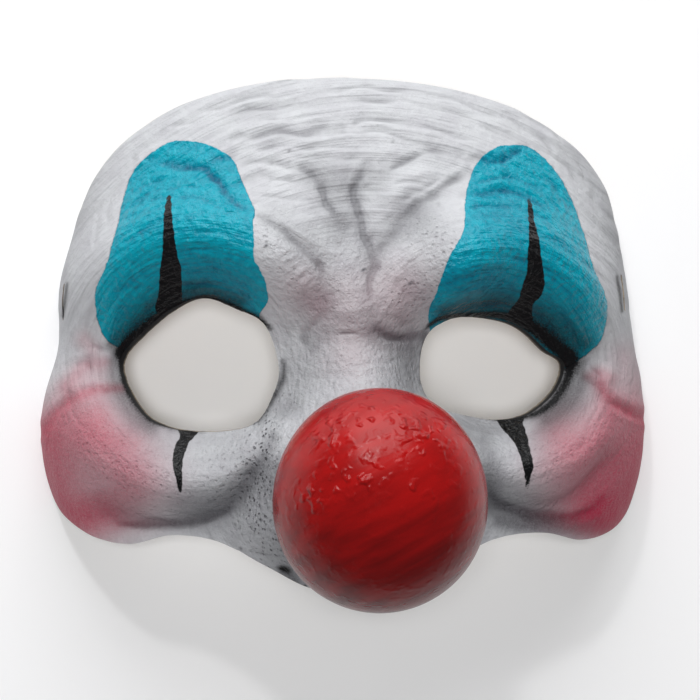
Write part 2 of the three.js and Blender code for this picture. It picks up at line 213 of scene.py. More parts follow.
# Outlines of the eye holes: out to the temple and up, as shares of half the hole's width and height
LEFT_EYE = (
    (1.0, 0.03), (0.65, 0.56), (0.22, 0.92), (-0.08, 1.0), (-0.45, 0.84), (-0.82, 0.6),
    (-1.0, 0.0), (-0.92, -0.45), (-0.65, -0.88), (-0.12, -1.0), (0.43, -0.93), (0.78, -0.66),
)
RIGHT_EYE = (
    (1.0, 0.1), (0.74, 0.37), (0.42, 0.77), (0.05, 0.96), (-0.5, 1.0), (-0.88, 0.74), (-1.0, 0.2),
    (-0.97, -0.45), (-0.72, -0.76), (-0.3, -0.93), (0.1, -1.0), (0.5, -0.88), (0.88, -0.42),
)

# Strap slits: side, height above the eye line, height above the rim, in mm
SLITS = ((-1, 18, 10), (1, 21, 17))
SLIT_TILT = math.radians(8)

# Creases by picture points: path, half width and depth in mm
CREASE_GAIN = 1.15  # every crease's depth against its row
CREASE_TAPER = 4  # half widths over which its ends run out
CREASE_END = 0.15  # share of its depth left at the ends
CREASE_MARGIN = 30  # points round it that it is worked out for
LIP_RISE = 0.45  # the lips beside a crease against its depth
LIP_PLACE = 1.8  # half widths from its middle
GROOVE_LIMIT = 0.75  # share of the wall that the deepest groove stays under
CREASES = (
    (((303, 167), (319, 180), (328, 202), (341, 226)), 3.4, 0.9),  # left frown
    (((303, 167), (317, 179), (327, 202), (339, 222)), 1.1, 0.8),
    (((296, 168), (311, 178), (322, 196), (330, 213)), 0.8, 0.3),
    (((370, 160), (357, 182), (356, 202), (363, 233), (372, 252), (371, 282), (368, 306)), 3.0, 1.0),
    (((368, 165), (356, 184), (356, 202), (364, 233), (372, 252), (371, 282), (368, 300)), 1.0, 0.9),
    (((472, 171), (448, 184), (419, 204), (399, 224), (383, 244), (375, 262), (371, 285)), 3.6, 1.3),
    (((470, 173), (448, 185), (420, 205), (400, 225), (384, 246), (375, 266)), 1.1, 0.9),
    (((378, 176), (400, 163), (425, 153), (452, 154), (475, 161)), 2.4, 0.6),
    (((384, 173), (403, 161), (425, 153), (448, 154)), 0.9, 0.5),
    (((385, 190), (405, 183), (430, 180)), 0.9, 0.4),
    (((392, 205), (412, 194), (440, 178)), 0.8, 0.3),
    (((255, 213), (270, 222), (288, 236), (303, 249), (317, 262), (325, 283), (323, 303)), 3.2, 0.9),
    (((262, 218), (288, 236), (303, 250), (317, 264), (324, 284)), 1.1, 0.6),
    (((276, 263), (288, 255), (300, 248)), 0.7, 0.35),  # crossed lines beside the left inner brow
    (((277, 272), (290, 264), (305, 255)), 0.7, 0.35),
    (((280, 281), (293, 272), (309, 263)), 0.7, 0.35),
    (((284, 290), (298, 280), (312, 272)), 0.7, 0.35),
    (((284, 252), (290, 268), (298, 288)), 0.7, 0.25),
    (((293, 248), (300, 264), (308, 282)), 0.7, 0.25),
    (((306, 338), (310, 328), (318, 322), (330, 318)), 1.3, 0.6),  # root of the nose
    (((312, 352), (305, 342), (305, 333)), 1.1, 0.5),
    (((336, 331), (350, 333), (362, 337)), 0.6, 0.6),
    (((330, 318), (346, 322), (360, 320)), 0.8, 0.3),
    (((372, 326), (386, 334), (402, 339), (421, 335)), 1.1, 1.1),
    (((352, 366), (366, 367), (384, 361), (404, 358)), 0.8, 0.4),
    (((300, 372), (318, 378), (336, 376)), 0.9, 0.3),
    (((230, 112), (252, 110), (297, 104)), 0.8, 0.4),  # forehead
    (((350, 100), (380, 99), (408, 102), (452, 113), (497, 131)), 0.9, 0.4),
    (((232, 137), (274, 132), (308, 132), (341, 126)), 1.2, 0.7),
    (((341, 127), (368, 120), (394, 119), (430, 127), (474, 138)), 1.1, 0.6),
    (((319, 138), (354, 131), (386, 133), (419, 139)), 0.8, 0.45),
    (((234, 160), (274, 163), (303, 167)), 1.1, 0.5),
    (((250, 148), (290, 146), (330, 148), (366, 146)), 0.8, 0.3),
    (((290, 155), (330, 158), (360, 156)), 0.8, 0.3),
    (((190, 117), (240, 100), (300, 92)), 0.9, 0.35),
    (((330, 90), (370, 88), (440, 97), (500, 116)), 0.8, 0.3),
    (((262, 121), (300, 118), (340, 112)), 0.8, 0.3),
    (((400, 110), (440, 117), (480, 128)), 0.8, 0.3),
    (((150, 138), (175, 125), (205, 117)), 0.9, 0.35),
    (((126, 172), (142, 150), (165, 134)), 0.9, 0.4),
    (((104, 232), (112, 196), (126, 165)), 0.9, 0.4),
    (((92, 250), (100, 214), (112, 180)), 0.8, 0.3),
    (((505, 118), (535, 136), (560, 158), (580, 186)), 0.9, 0.4),
    (((520, 113), (556, 134), (585, 172), (600, 210)), 0.9, 0.35),
    (((588, 190), (602, 222), (612, 258)), 0.9, 0.35),
    (((304, 182), (318, 190), (330, 193)), 0.8, 0.35),
    (((262, 176), (285, 178), (300, 184)), 0.8, 0.35),
    (((255, 196), (280, 196), (305, 200), (322, 206)), 0.8, 0.35),
    (((152, 156), (160, 162), (168, 165), (190, 167), (206, 171), (218, 184), (240, 205), (254, 211)),
     1.5, 1.0),
    (((206, 161), (220, 159), (233, 157)), 1.0, 0.7),
    (((140, 190), (165, 180), (192, 179), (215, 190), (245, 212)), 0.8, 0.4),
    (((133, 208), (150, 193), (178, 186), (205, 191), (236, 212)), 0.8, 0.4),
    (((130, 222), (148, 204), (180, 195), (210, 203), (244, 222)), 0.8, 0.35),
    (((476, 160), (488, 161), (502, 159), (514, 153), (524, 147)), 1.2, 0.8),
    (((466, 197), (478, 194), (492, 192), (510, 193), (530, 198), (556, 207)), 1.2, 0.9),
    (((470, 183), (490, 180), (515, 180), (545, 190)), 0.8, 0.35),
    (((466, 212), (490, 204), (520, 208), (556, 226)), 0.9, 0.35),
    (((530, 172), (552, 186), (568, 208)), 0.8, 0.3),
    (((100, 372), (84, 362), (70, 366)), 1.2, 0.5),  # outside the left eye
    (((122, 386), (104, 390), (84, 392), (62, 408), (45, 432)), 1.2, 0.7),
    (((96, 344), (88, 330), (88, 312)), 1.1, 0.4),
    (((112, 352), (99, 350), (88, 342)), 0.9, 0.4),
    (((140, 434), (126, 436), (112, 432)), 2.2, 0.7),
    (((576, 374), (592, 386), (606, 398), (620, 408), (646, 418)), 1.3, 0.9),  # outside the right eye
    (((590, 362), (600, 374), (606, 390)), 1.2, 0.6),
    (((570, 384), (586, 394), (600, 402)), 1.0, 0.5),
    (((556, 436), (572, 448), (584, 446)), 1.8, 0.6),
    (((266, 440), (262, 452), (256, 466), (246, 482), (230, 500)), 2.0, 0.8),  # beside the ball
    (((120, 524), (150, 524), (180, 523), (206, 519), (228, 509)), 1.2, 0.6),
    (((489, 492), (502, 506), (532, 514), (563, 517), (586, 512), (603, 499)), 1.3, 0.8),
    (((283, 378), (272, 398), (258, 420)), 1.2, 0.5),
    (((426, 392), (446, 407), (470, 414)), 1.2, 0.5),
)

# Small bumps, ridges and dimples between the folds by picture points: place, radius and height in mm
KNOBS = (
    (284, 569, 1.1, -1.3), (305, 586, 0.5, -0.5),  # dimple beside the ball and a pit under it
    (604, 378, 2.6, 1.1), (592, 391, 2.6, 1.0), (74, 386, 3.4, 0.8), (96, 400, 3.2, 0.8),
    (286, 428, 3.0, 0.9), (268, 424, 3.2, 0.7), (340, 348, 5.0, 0.8), (305, 232, 4.5, 0.8),
    (348, 222, 3.0, 0.6), (395, 196, 4.5, 0.8), (300, 284, 4.0, 0.8), (412, 318, 4.0, 0.9),
    (395, 330, 3.0, 0.7), (310, 432, 2.6, 0.8), (340, 210, 2.6, 0.5),
)

# Outlines of the paint by picture points
PAINT_MELT = 0.12  # mm to each side of its outline over which brushed paint ends
TEAL_PAINT = (
    ((183, 141), (203, 143), (220, 150), (233, 160), (242, 181), (249, 196), (255, 212), (253, 222),
     (254, 244), (254, 258), (259, 268), (264, 278), (267, 290), (268, 301), (261, 312), (252, 326),
     (200, 335), (140, 360), (120, 349), (109, 342), (102, 332), (97, 318), (95, 301), (96, 288),
     (103, 272), (109, 256), (113, 240), (118, 224), (121, 208), (126, 190), (131, 176), (138, 165),
     (149, 155), (160, 147), (170, 142)),
    ((512, 145), (526, 146), (538, 153), (548, 162), (558, 174), (566, 188), (571, 198), (576, 210),
     (580, 222), (585, 236), (589, 252), (592, 262), (598, 278), (604, 290), (607, 303), (607, 318),
     (605, 330), (600, 342), (592, 350), (580, 359), (570, 366), (556, 368), (530, 340), (480, 326),
     (436, 336), (429, 325), (429, 310), (435, 296), (440, 282), (445, 268), (450, 256), (458, 242),
     (463, 232), (465, 216), (465, 204), (467, 190), (471, 176), (475, 166), (480, 159), (488, 152),
     (500, 146)),
)
SLIT_PAINT = (
    ((168, 196), (171, 197), (172, 216), (174, 234), (178, 257), (181, 268), (182, 296), (180, 312),
     (156, 312), (159, 290), (160, 268), (162, 256), (163, 240), (164, 216), (166, 200)),
    ((528, 198), (532, 204), (534, 220), (538, 234), (541, 254), (544, 274), (544, 289), (538, 300),
     (532, 306), (531, 326), (506, 320), (510, 310), (518, 300), (523, 284), (527, 270), (528, 250),
     (529, 230), (528, 210)),
    ((178, 424), (200, 424), (197, 434), (190, 441), (186, 450), (183, 460), (182, 472), (182, 487),
     (180, 494), (178, 490), (176, 480), (173, 464), (173, 454), (176, 444), (180, 436)),
    ((494, 412), (522, 414), (523, 424), (526, 432), (529, 445), (533, 462), (533, 469), (530, 478),
     (529, 487), (526, 488), (525, 478), (523, 465), (517, 448), (509, 436), (503, 430), (499, 424)),
)

# Airbrushed strokes by picture points: path of (across, down, radius), strength
MIST_SPREAD = 1.4  # radii at which the spray has thinned to about a third
BLACK_AND_SHADE_COVER = 1.2  # above one, the spray covers in full between its dots too
# Black airbrush round the eyes, and painted shade: under the brows and along the eye holes' rims it darkens
# the shade of the overhang and of the rim turning in. In the dimple beside the ball, the pit under it and
# round the strap slits it is painted shade of the openings
BLACK_AND_SHADE = (
    (((119, 353, 4), (130, 341, 5), (150, 326, 6), (172, 310, 5), (190, 302, 3.5), (208, 298, 2.5),
      (232, 306, 2.5), (256, 317, 2.5), (270, 328, 1.5)), 1.0),  # under the left brow
    (((112, 344, 5), (128, 330, 11), (148, 314, 14), (172, 298, 12), (200, 290, 7), (240, 302, 5)), 0.6),
    (((121, 352, 4), (121, 368, 2.5), (127, 390, 2.5), (143, 412, 2.5), (158, 423, 2), (190, 430, 1.5)),
     0.85),
    (((112, 362, 5), (116, 386, 8), (130, 410, 9), (150, 426, 7)), 0.4),
    (((283, 360, 1.5), (283, 378, 2.5), (272, 400, 3), (258, 420, 2.5)), 0.7),
    (((428, 326, 1.5), (440, 319, 2), (462, 316, 3), (492, 315, 3.5), (512, 319, 5), (535, 330, 7),
      (556, 347, 8), (570, 358, 8)), 1.0),  # under the right brow
    (((442, 312, 5), (470, 306, 7), (504, 304, 10), (534, 313, 13), (562, 330, 14), (586, 344, 9)), 0.6),
    (((567, 358, 5), (568, 374, 4.5), (561, 390, 4), (550, 404, 3.5), (532, 415, 2.5), (510, 419, 2),
      (480, 416, 1.5), (450, 408, 1.2)), 0.9),
    (((578, 366, 8), (578, 384, 12), (566, 402, 13), (546, 418, 9)), 0.5),
    (((425, 330, 1.5), (424, 350, 2), (424, 380, 2), (430, 394, 2)), 0.7),
    (((280, 568, 1.6), (285, 569, 2.0), (289, 571, 1.8)), 1.2),  # dimple beside the ball
    (((304, 585, 1.0), (305, 586, 1.0)), 1.2),
    (((67, 284, 1.2), (65, 300, 1.5), (63, 316, 1.2)), 0.7),  # round the strap slits
    (((617, 277, 1.2), (620, 294, 1.5), (622, 311, 1.2)), 0.8),
)
# Grey airbrush, and painted shade: in the frown creases, under the brows and the cheek rolls, on the
# undersides of the cheeks, beside the ball and along the face's sides the strokes darken where shade falls
GRIME_AND_SHADE = (
    (((303, 167, 4), (319, 181, 7), (328, 202, 8), (340, 226, 8)), 0.26),
    (((334, 214, 4), (342, 226, 5)), 0.3),
    (((312, 172, 12), (345, 178, 14), (376, 178, 12)), 0.3),
    (((404, 214, 10), (420, 220, 12), (392, 236, 10)), 0.32),
    (((276, 214, 12), (300, 226, 10)), 0.16),
    (((368, 166, 4), (357, 186, 6), (357, 204, 5), (363, 233, 7), (371, 256, 7), (370, 284, 6),
      (368, 306, 6)), 0.22),
    (((470, 172, 3), (448, 184, 5), (419, 205, 8), (399, 224, 8), (383, 244, 7), (375, 262, 6)), 0.25),
    (((408, 208, 6), (416, 204, 5)), 0.25),
    (((386, 172, 4), (403, 161, 5), (425, 154, 5), (452, 154, 4), (472, 160, 3)), 0.12),
    (((330, 186, 6), (345, 190, 10), (352, 214, 10)), 0.2),
    (((259, 216, 3), (283, 231, 5), (303, 249, 7), (317, 262, 8), (326, 284, 9), (322, 302, 10)), 0.3),
    (((318, 288, 6), (326, 296, 7), (330, 300, 6)), 0.3),
    (((168, 164, 4), (190, 167, 5), (207, 172, 6), (220, 186, 5), (240, 206, 4)), 0.12),  # in the teal
    (((208, 161, 4), (224, 160, 4)), 0.15),
    (((106, 438, 8), (122, 442, 8)), 0.18),
    (((196, 270, 16), (226, 280, 16), (246, 292, 10)), 0.4),
    (((450, 276, 8), (472, 282, 14), (500, 288, 14)), 0.4),
    (((482, 158, 4), (500, 158, 5), (516, 152, 4)), 0.3),
    (((540, 300, 20), (520, 250, 20), (505, 200, 16)), 0.2),
    (((180, 452, 20), (214, 446, 18), (240, 440, 12)), 0.14),
    (((470, 440, 10), (484, 470, 12)), 0.2),
    (((500, 522, 7), (530, 526, 8), (570, 526, 9), (604, 524, 9)), 0.75),  # undersides of the cheeks
    (((528, 520, 4), (560, 520, 5), (596, 516, 5)), 0.4),
    (((120, 524, 2), (150, 525, 2), (180, 524, 2), (206, 520, 2), (228, 510, 2)), 0.5),
    (((489, 492, 2), (502, 506, 2), (532, 514, 2), (563, 517, 2), (586, 512, 2), (603, 499, 2)), 0.5),
    (((290, 262, 7), (298, 272, 8), (306, 284, 8)), 0.16),
    (((303, 300, 8), (312, 306, 8)), 0.25),
    (((305, 340, 4), (312, 350, 4), (318, 342, 4)), 0.3),
    (((372, 334, 7), (388, 342, 9), (408, 346, 8)), 0.42),
    (((374, 327, 2.5), (398, 337, 3), (420, 335, 3)), 0.45),
    (((380, 312, 18), (400, 306, 20), (415, 296, 16)), 0.26),
    (((345, 240, 22), (345, 276, 24), (345, 320, 30), (350, 360, 30)), 0.22),
    (((410, 370, 18), (400, 395, 14)), 0.3),
    (((430, 230, 18), (444, 252, 20), (430, 280, 20)), 0.12),
    (((232, 137, 2.5), (274, 133, 2.5), (308, 133, 2.5), (341, 127, 3)), 0.25),
    (((232, 111, 2), (262, 108, 2), (300, 104, 2)), 0.15),
    (((274, 436, 5), (267, 450, 6), (258, 466, 8), (246, 484, 8), (232, 500, 9), (206, 515, 6),
      (170, 522, 4), (126, 524, 3)), 0.46),
    (((250, 470, 16), (236, 486, 20), (214, 498, 18), (186, 504, 12)), 0.36),
    (((274, 470, 12), (268, 500, 14), (270, 530, 15), (280, 556, 14), (292, 574, 10)), 0.5),
    (((286, 572, 4), (292, 578, 5), (299, 584, 3)), 0.7),
    (((230, 530, 18), (210, 524, 14)), 0.3),
    (((262, 420, 8), (280, 412, 8), (296, 404, 6)), 0.25),
    (((300, 380, 16), (290, 400, 12)), 0.14),
    (((170, 430, 3), (184, 430, 4), (200, 431, 3)), 0.3),
    (((486, 486, 5), (500, 504, 6), (520, 512, 5), (546, 516, 5), (572, 517, 4), (590, 510, 4),
      (602, 499, 3)), 0.5),
    (((490, 470, 10), (500, 492, 14), (524, 502, 12), (552, 506, 9)), 0.36),
    (((486, 440, 7), (492, 470, 9), (494, 500, 9)), 0.32),
    (((545, 430, 14), (560, 415, 16), (575, 405, 10)), 0.3),
    (((590, 380, 6), (600, 384, 5)), 0.25),
    (((455, 425, 7), (480, 428, 8), (500, 426, 8)), 0.3),
    (((520, 440, 16), (540, 460, 20), (530, 490, 16)), 0.2),
    (((100, 500, 7), (110, 512, 7), (118, 524, 6)), 0.25),
    (((150, 424, 10), (140, 412, 10), (126, 388, 9)), 0.26),
    (((150, 450, 24), (150, 480, 26), (190, 500, 20)), 0.2),
    (((40, 340, 9), (52, 300, 9), (66, 240, 9), (90, 170, 8)), 0.2),
    (((620, 200, 10), (628, 300, 9), (636, 340, 10), (644, 380, 9)), 0.26),
    (((570, 150, 9), (600, 186, 9), (622, 250, 9)), 0.22),
)
BLUSH = (
    (((46, 436, 24), (44, 465, 34), (52, 498, 34), (76, 516, 24)), 0.85),
    (((92, 436, 26), (120, 466, 28), (128, 488, 26), (110, 506, 20)), 0.55),
    (((104, 434, 12), (116, 436, 12), (134, 441, 8)), 0.14),
    (((45, 430, 5), (60, 412, 5), (76, 398, 5), (100, 389, 5), (124, 388, 3)), 0.45),
    (((66, 392, 10), (84, 380, 12), (100, 372, 9)), 0.2),
    (((66, 386, 6), (84, 366, 6), (104, 362, 5)), 0.28),
    (((84, 340, 7), (92, 348, 7)), 0.25),
    (((80, 414, 14), (96, 412, 14)), 0.3),
    (((652, 430, 24), (648, 460, 34), (638, 490, 34), (612, 512, 24)), 0.95),
    (((612, 420, 20), (600, 450, 28), (590, 480, 28), (586, 502, 20)), 0.6),
    (((560, 434, 16), (566, 446, 16)), 0.34),
    (((600, 384, 6), (608, 396, 7), (620, 406, 6), (645, 418, 6)), 0.5),
    (((588, 376, 4), (600, 372, 5), (612, 378, 5)), 0.3),
    (((626, 360, 14), (640, 396, 16)), 0.22),
    (((546, 470, 18), (560, 500, 18)), 0.16),
    (((300, 290, 16), (314, 306, 12)), 0.12),
    (((400, 290, 22), (398, 312, 18)), 0.14),
    (((346, 300, 22), (350, 350, 20)), 0.1),
)

# Where the skin is pitted with pores, in the same form
PITS = (
    (((262, 430, 12), (262, 470, 16), (258, 510, 18), (272, 550, 14)), 1.0),
    (((225, 470, 22), (215, 490, 18)), 0.5),
    (((432, 236, 18), (442, 258, 18), (430, 282, 20), (408, 300, 18)), 0.5),
    (((262, 236, 14), (280, 262, 14), (300, 284, 14)), 0.45),
    (((345, 260, 22), (350, 300, 26), (330, 350, 26), (380, 375, 20)), 0.3),
    (((90, 450, 36), (150, 490, 30)), 0.45),
    (((540, 470, 30), (600, 450, 34)), 0.35),
    (((255, 400, 12), (290, 400, 12)), 0.5),
)

# Where the skin carries pores in place of lines, in the same form
SMOOTH = (
    (((268, 230, 16), (280, 262, 16), (300, 290, 18)), 0.8),
    (((438, 232, 20), (440, 262, 20), (420, 292, 22)), 0.85),
    (((350, 260, 24), (345, 300, 34), (345, 350, 44), (330, 390, 40)), 0.85),
    (((400, 340, 24), (410, 380, 24), (300, 350, 24), (290, 390, 26)), 0.7),
    (((270, 440, 22), (262, 500, 28), (276, 556, 24)), 0.95),
    (((240, 450, 30), (170, 470, 40)), 0.65),
    (((80, 450, 44), (110, 500, 36)), 0.75),
    (((620, 450, 44), (560, 480, 44), (500, 470, 36)), 0.75),
)

# Course of the skin's lines, in picture points: rings round the eyes, and from ARCHES_FROM points away to
# ARCHES_FULL they give way to arches about a point under the nose bridge
EYE_MIDDLES = ((204, 362), (494, 368))
ARCH_MIDDLE = (368, 455)
RING_MELT = 26
ARCHES_FROM = 140
ARCHES_FULL = 190
RING_FOLD = 13  # from fold to fold
ARCH_FOLD = 16
FOLD_HEIGHT = 0.17  # in mm
FOLD_SWAY = ((2.2, 37, 51), (1.4, 23, -19))  # radians, and points for a radian across and down
FOLD_SLANT = 29 / 13  # points across that count as one down, where folds come and go

# How hand work comes and goes, as bent waves: points for a radian, radians of bend, points for a radian of
# the bend. Each hold is a mean and a swing.
FOLD_HOLD = (0.55, 0.45)
FOLD_HOLD_WAVE = (29, 1.1, 17)
CREASE_HOLD = (0.75, 0.35)
CREASE_HOLD_WAVES = ((11, 1.7, 7), (9, 1.3, 15))
CREASE_WAVER = 1.5  # points to each side
CREASE_WAVER_WAVES = ((6.3, 2, 17), (8.1, 2, 13))

# Specks of dirt: place and radius in picture points
SPECK_FADE = 1.6  # radii at which a speck has faded out
SPECKS = (
    (437, 205, 1.3), (238, 173, 0.8), (266, 245, 1.0), (281, 248, 1.0), (363, 269, 1.4), (412, 283, 1.5),
    (354, 250, 0.9), (392, 141, 0.9), (289, 150, 0.9), (290, 161, 1.0), (78, 378, 0.8), (256, 525, 1.2),
    (261, 519, 1.1), (246, 541, 0.9), (240, 549, 1.2), (265, 500, 1.0), (259, 508, 1.0), (381, 369, 0.9),
)

# Where the ball's paint stands up in blobs: place and radius in picture points, strength
BLOB_GROUND = 0.12  # strength everywhere else
BLOBS = (
    (327, 434, 17, 1.0), (350, 420, 14, 0.7), (375, 414, 18, 1.0), (400, 424, 12, 0.7), (425, 438, 20, 1.0),
    (362, 477, 18, 1.0), (313, 494, 15, 0.9), (330, 480, 12, 0.6), (412, 491, 9, 0.6), (438, 492, 8, 0.7),
)

# The ball isn't quite round: it swells by a product of waves along the axes, each a number of radians from
# middle to side and its start
SWELL = 0.25 * MM
SWELL_WAVES = ((3.1, 1.3), (2.7, 0.4), (2.3, 2.0))

# Where the ball's paint ends, in mm over its middle: highest on the side where the ball was held, and lower
# by the fall times one less the cosine of the turn from there
HELD_TOWARDS = (0.5, -0.87)
BARE_TOP, BARE_FALL = 1.5, 10

# Painted shade on the ball: how far its red goes to maroon, a share at its middle's level and more for each
# radius down, of the most
UNDERSIDE_SHADE_MIDDLE, UNDERSIDE_SHADE_RISE, UNDERSIDE_SHADE_MOST = 0.34, 0.62, 0.75

# Stage, in metres: the floor from its middle to each side, where the lights aim, and how far off the light
# overhead is
FLOOR_REACH = 3.0
LIGHT_AIM = Vector((0, 0, 0.04))
OVERHEAD = 1.7


def through(rows, key, column, at):
    """A smooth curve through a table: the cubic between two rows that takes its slope at each from the rows
    on both sides, or from the one side at the ends."""
    knots = np.array(rows[key])
    values = np.array(rows[column])
    slopes = np.empty_like(values)
    slopes[1:-1] = (values[2:] - values[:-2]) / (knots[2:] - knots[:-2])
    slopes[[0, -1]] = (np.diff(values) / np.diff(knots))[[0, -1]]
    i = np.clip(np.searchsorted(knots, at, side="left") - 1, 0, len(knots) - 2)
    span = knots[i + 1] - knots[i]
    t = np.clip((at - knots[i]) / span, 0, 1)
    start = (2 * t**3 - 3 * t**2 + 1) * values[i] + (t**3 - 2 * t**2 + t) * span * slopes[i]
    return start + (3 * t**2 - 2 * t**3) * values[i + 1] + (t**3 - t**2) * span * slopes[i + 1]


def smooth_line(corners, closed=False, steps=8):
    """Points on a smooth curve through the corners: the cubic whose slope at a corner is half the way from
    the corner before to the corner after."""
    corners = np.array(corners, float)
    if closed:
        before, after, beyond = (np.roll(corners, n, axis=0) for n in (1, -1, -2))
        start = corners
    else:
        ends = np.vstack([2 * corners[0] - corners[1], corners, 2 * corners[-1] - corners[-2]])
        before, start, after, beyond = ends[:-3], ends[1:-2], ends[2:-1], ends[3:]
    t = (np.arange(steps) / steps)[:, None, None]
    out, back = (after - before) / 2, (beyond - start) / 2
    curve = (2 * t**3 - 3 * t**2 + 1) * start + (t**3 - 2 * t**2 + t) * out
    curve += (3 * t**2 - 2 * t**3) * after + (t**3 - t**2) * back
    points = curve.transpose(1, 0, 2).reshape(-1, corners.shape[1])
    return points if closed else np.vstack([points, corners[-1]])


def nearest(at, line, closed=False):
    """Distance from each point to a line of straight stretches."""
    starts = line
    ends = np.roll(line, -1, axis=0)
    if not closed:
        starts, ends = starts[:-1], ends[:-1]
    best = np.full(len(at), np.inf)
    for a, b in zip(starts[:, :2], ends[:, :2]):
        along = b - a
        share = np.clip(((at - a) @ along) / max(along @ along, 1e-12), 0, 1)
        best = np.minimum(best, np.linalg.norm(at - a - share[:, None] * along, axis=1))
    return best


def inside(at, line):
    """Whether each point lies in a closed line: a ray to the right crosses it an odd number of times."""
    odd = np.zeros(len(at), bool)
    for (ax, ay), (bx, by) in zip(line, np.roll(line, -1, axis=0)):
        if ay != by:
            crossed = (at[:, 1] > min(ay, by)) & (at[:, 1] <= max(ay, by))
            odd ^= crossed & (at[:, 0] < ax + (at[:, 1] - ay) * (bx - ax) / (by - ay))
    return odd


def depth_in(at, outline):
    """Distance to a closed outline, above zero inside it."""
    line = smooth_line(outline, closed=True, steps=5)
    return np.where(inside(at, line), 1, -1) * nearest(at, line, closed=True)


def strokes(at, table):
    """Airbrush: each stroke is a row of soft discs, of which the strongest counts, and strokes add up as
    layers of spray do."""
    clear = np.ones(len(at))
    for path, strength in table:
        mist = np.zeros(len(at))
        for x, y, radius in smooth_line(path):
            away = np.hypot(at[:, 0] - x, at[:, 1] - y) / (MIST_SPREAD * radius)
            mist = np.maximum(mist, np.exp(-(away**2)))
        clear *= 1 - np.clip(strength * mist, 0, 1)
    return 1 - clear


def ripple(along, beside, wave, bend, bend_wave):
    """A wave with bent crests: the sine of along by its wave plus bend times the sine of beside by its
    own wave."""
    return np.sin(along / wave + bend * np.sin(beside / bend_wave))


def courses(at):
    """Course of the skin's lines in the picture: rings round the eyes, which melt into one between them, the
    arches over the forehead, and from 0 to 1 how far the arches hold."""
    eyes = [np.hypot(*(at - eye).T) for eye in EYE_MIDDLES]
    ring = -RING_MELT * np.log(sum(np.exp(-eye / RING_MELT) for eye in eyes))
    arch = np.hypot(*(at - ARCH_MIDDLE).T)
    outer = np.clip((ring - ARCHES_FROM) / (ARCHES_FULL - ARCHES_FROM), 0, 1)
    return ring, arch, outer * outer * (3 - 2 * outer)


def eye_line(height):
    """The middle of the eye line at this height above the floor: it keeps its named distances from the
    middle of the ball."""
    ball = bpy.context.scene.mask_ball
    across, up, _ = BALL_BOX.mean(axis=0)
    return np.array([across - ball.offset, up + ball.drop, height])


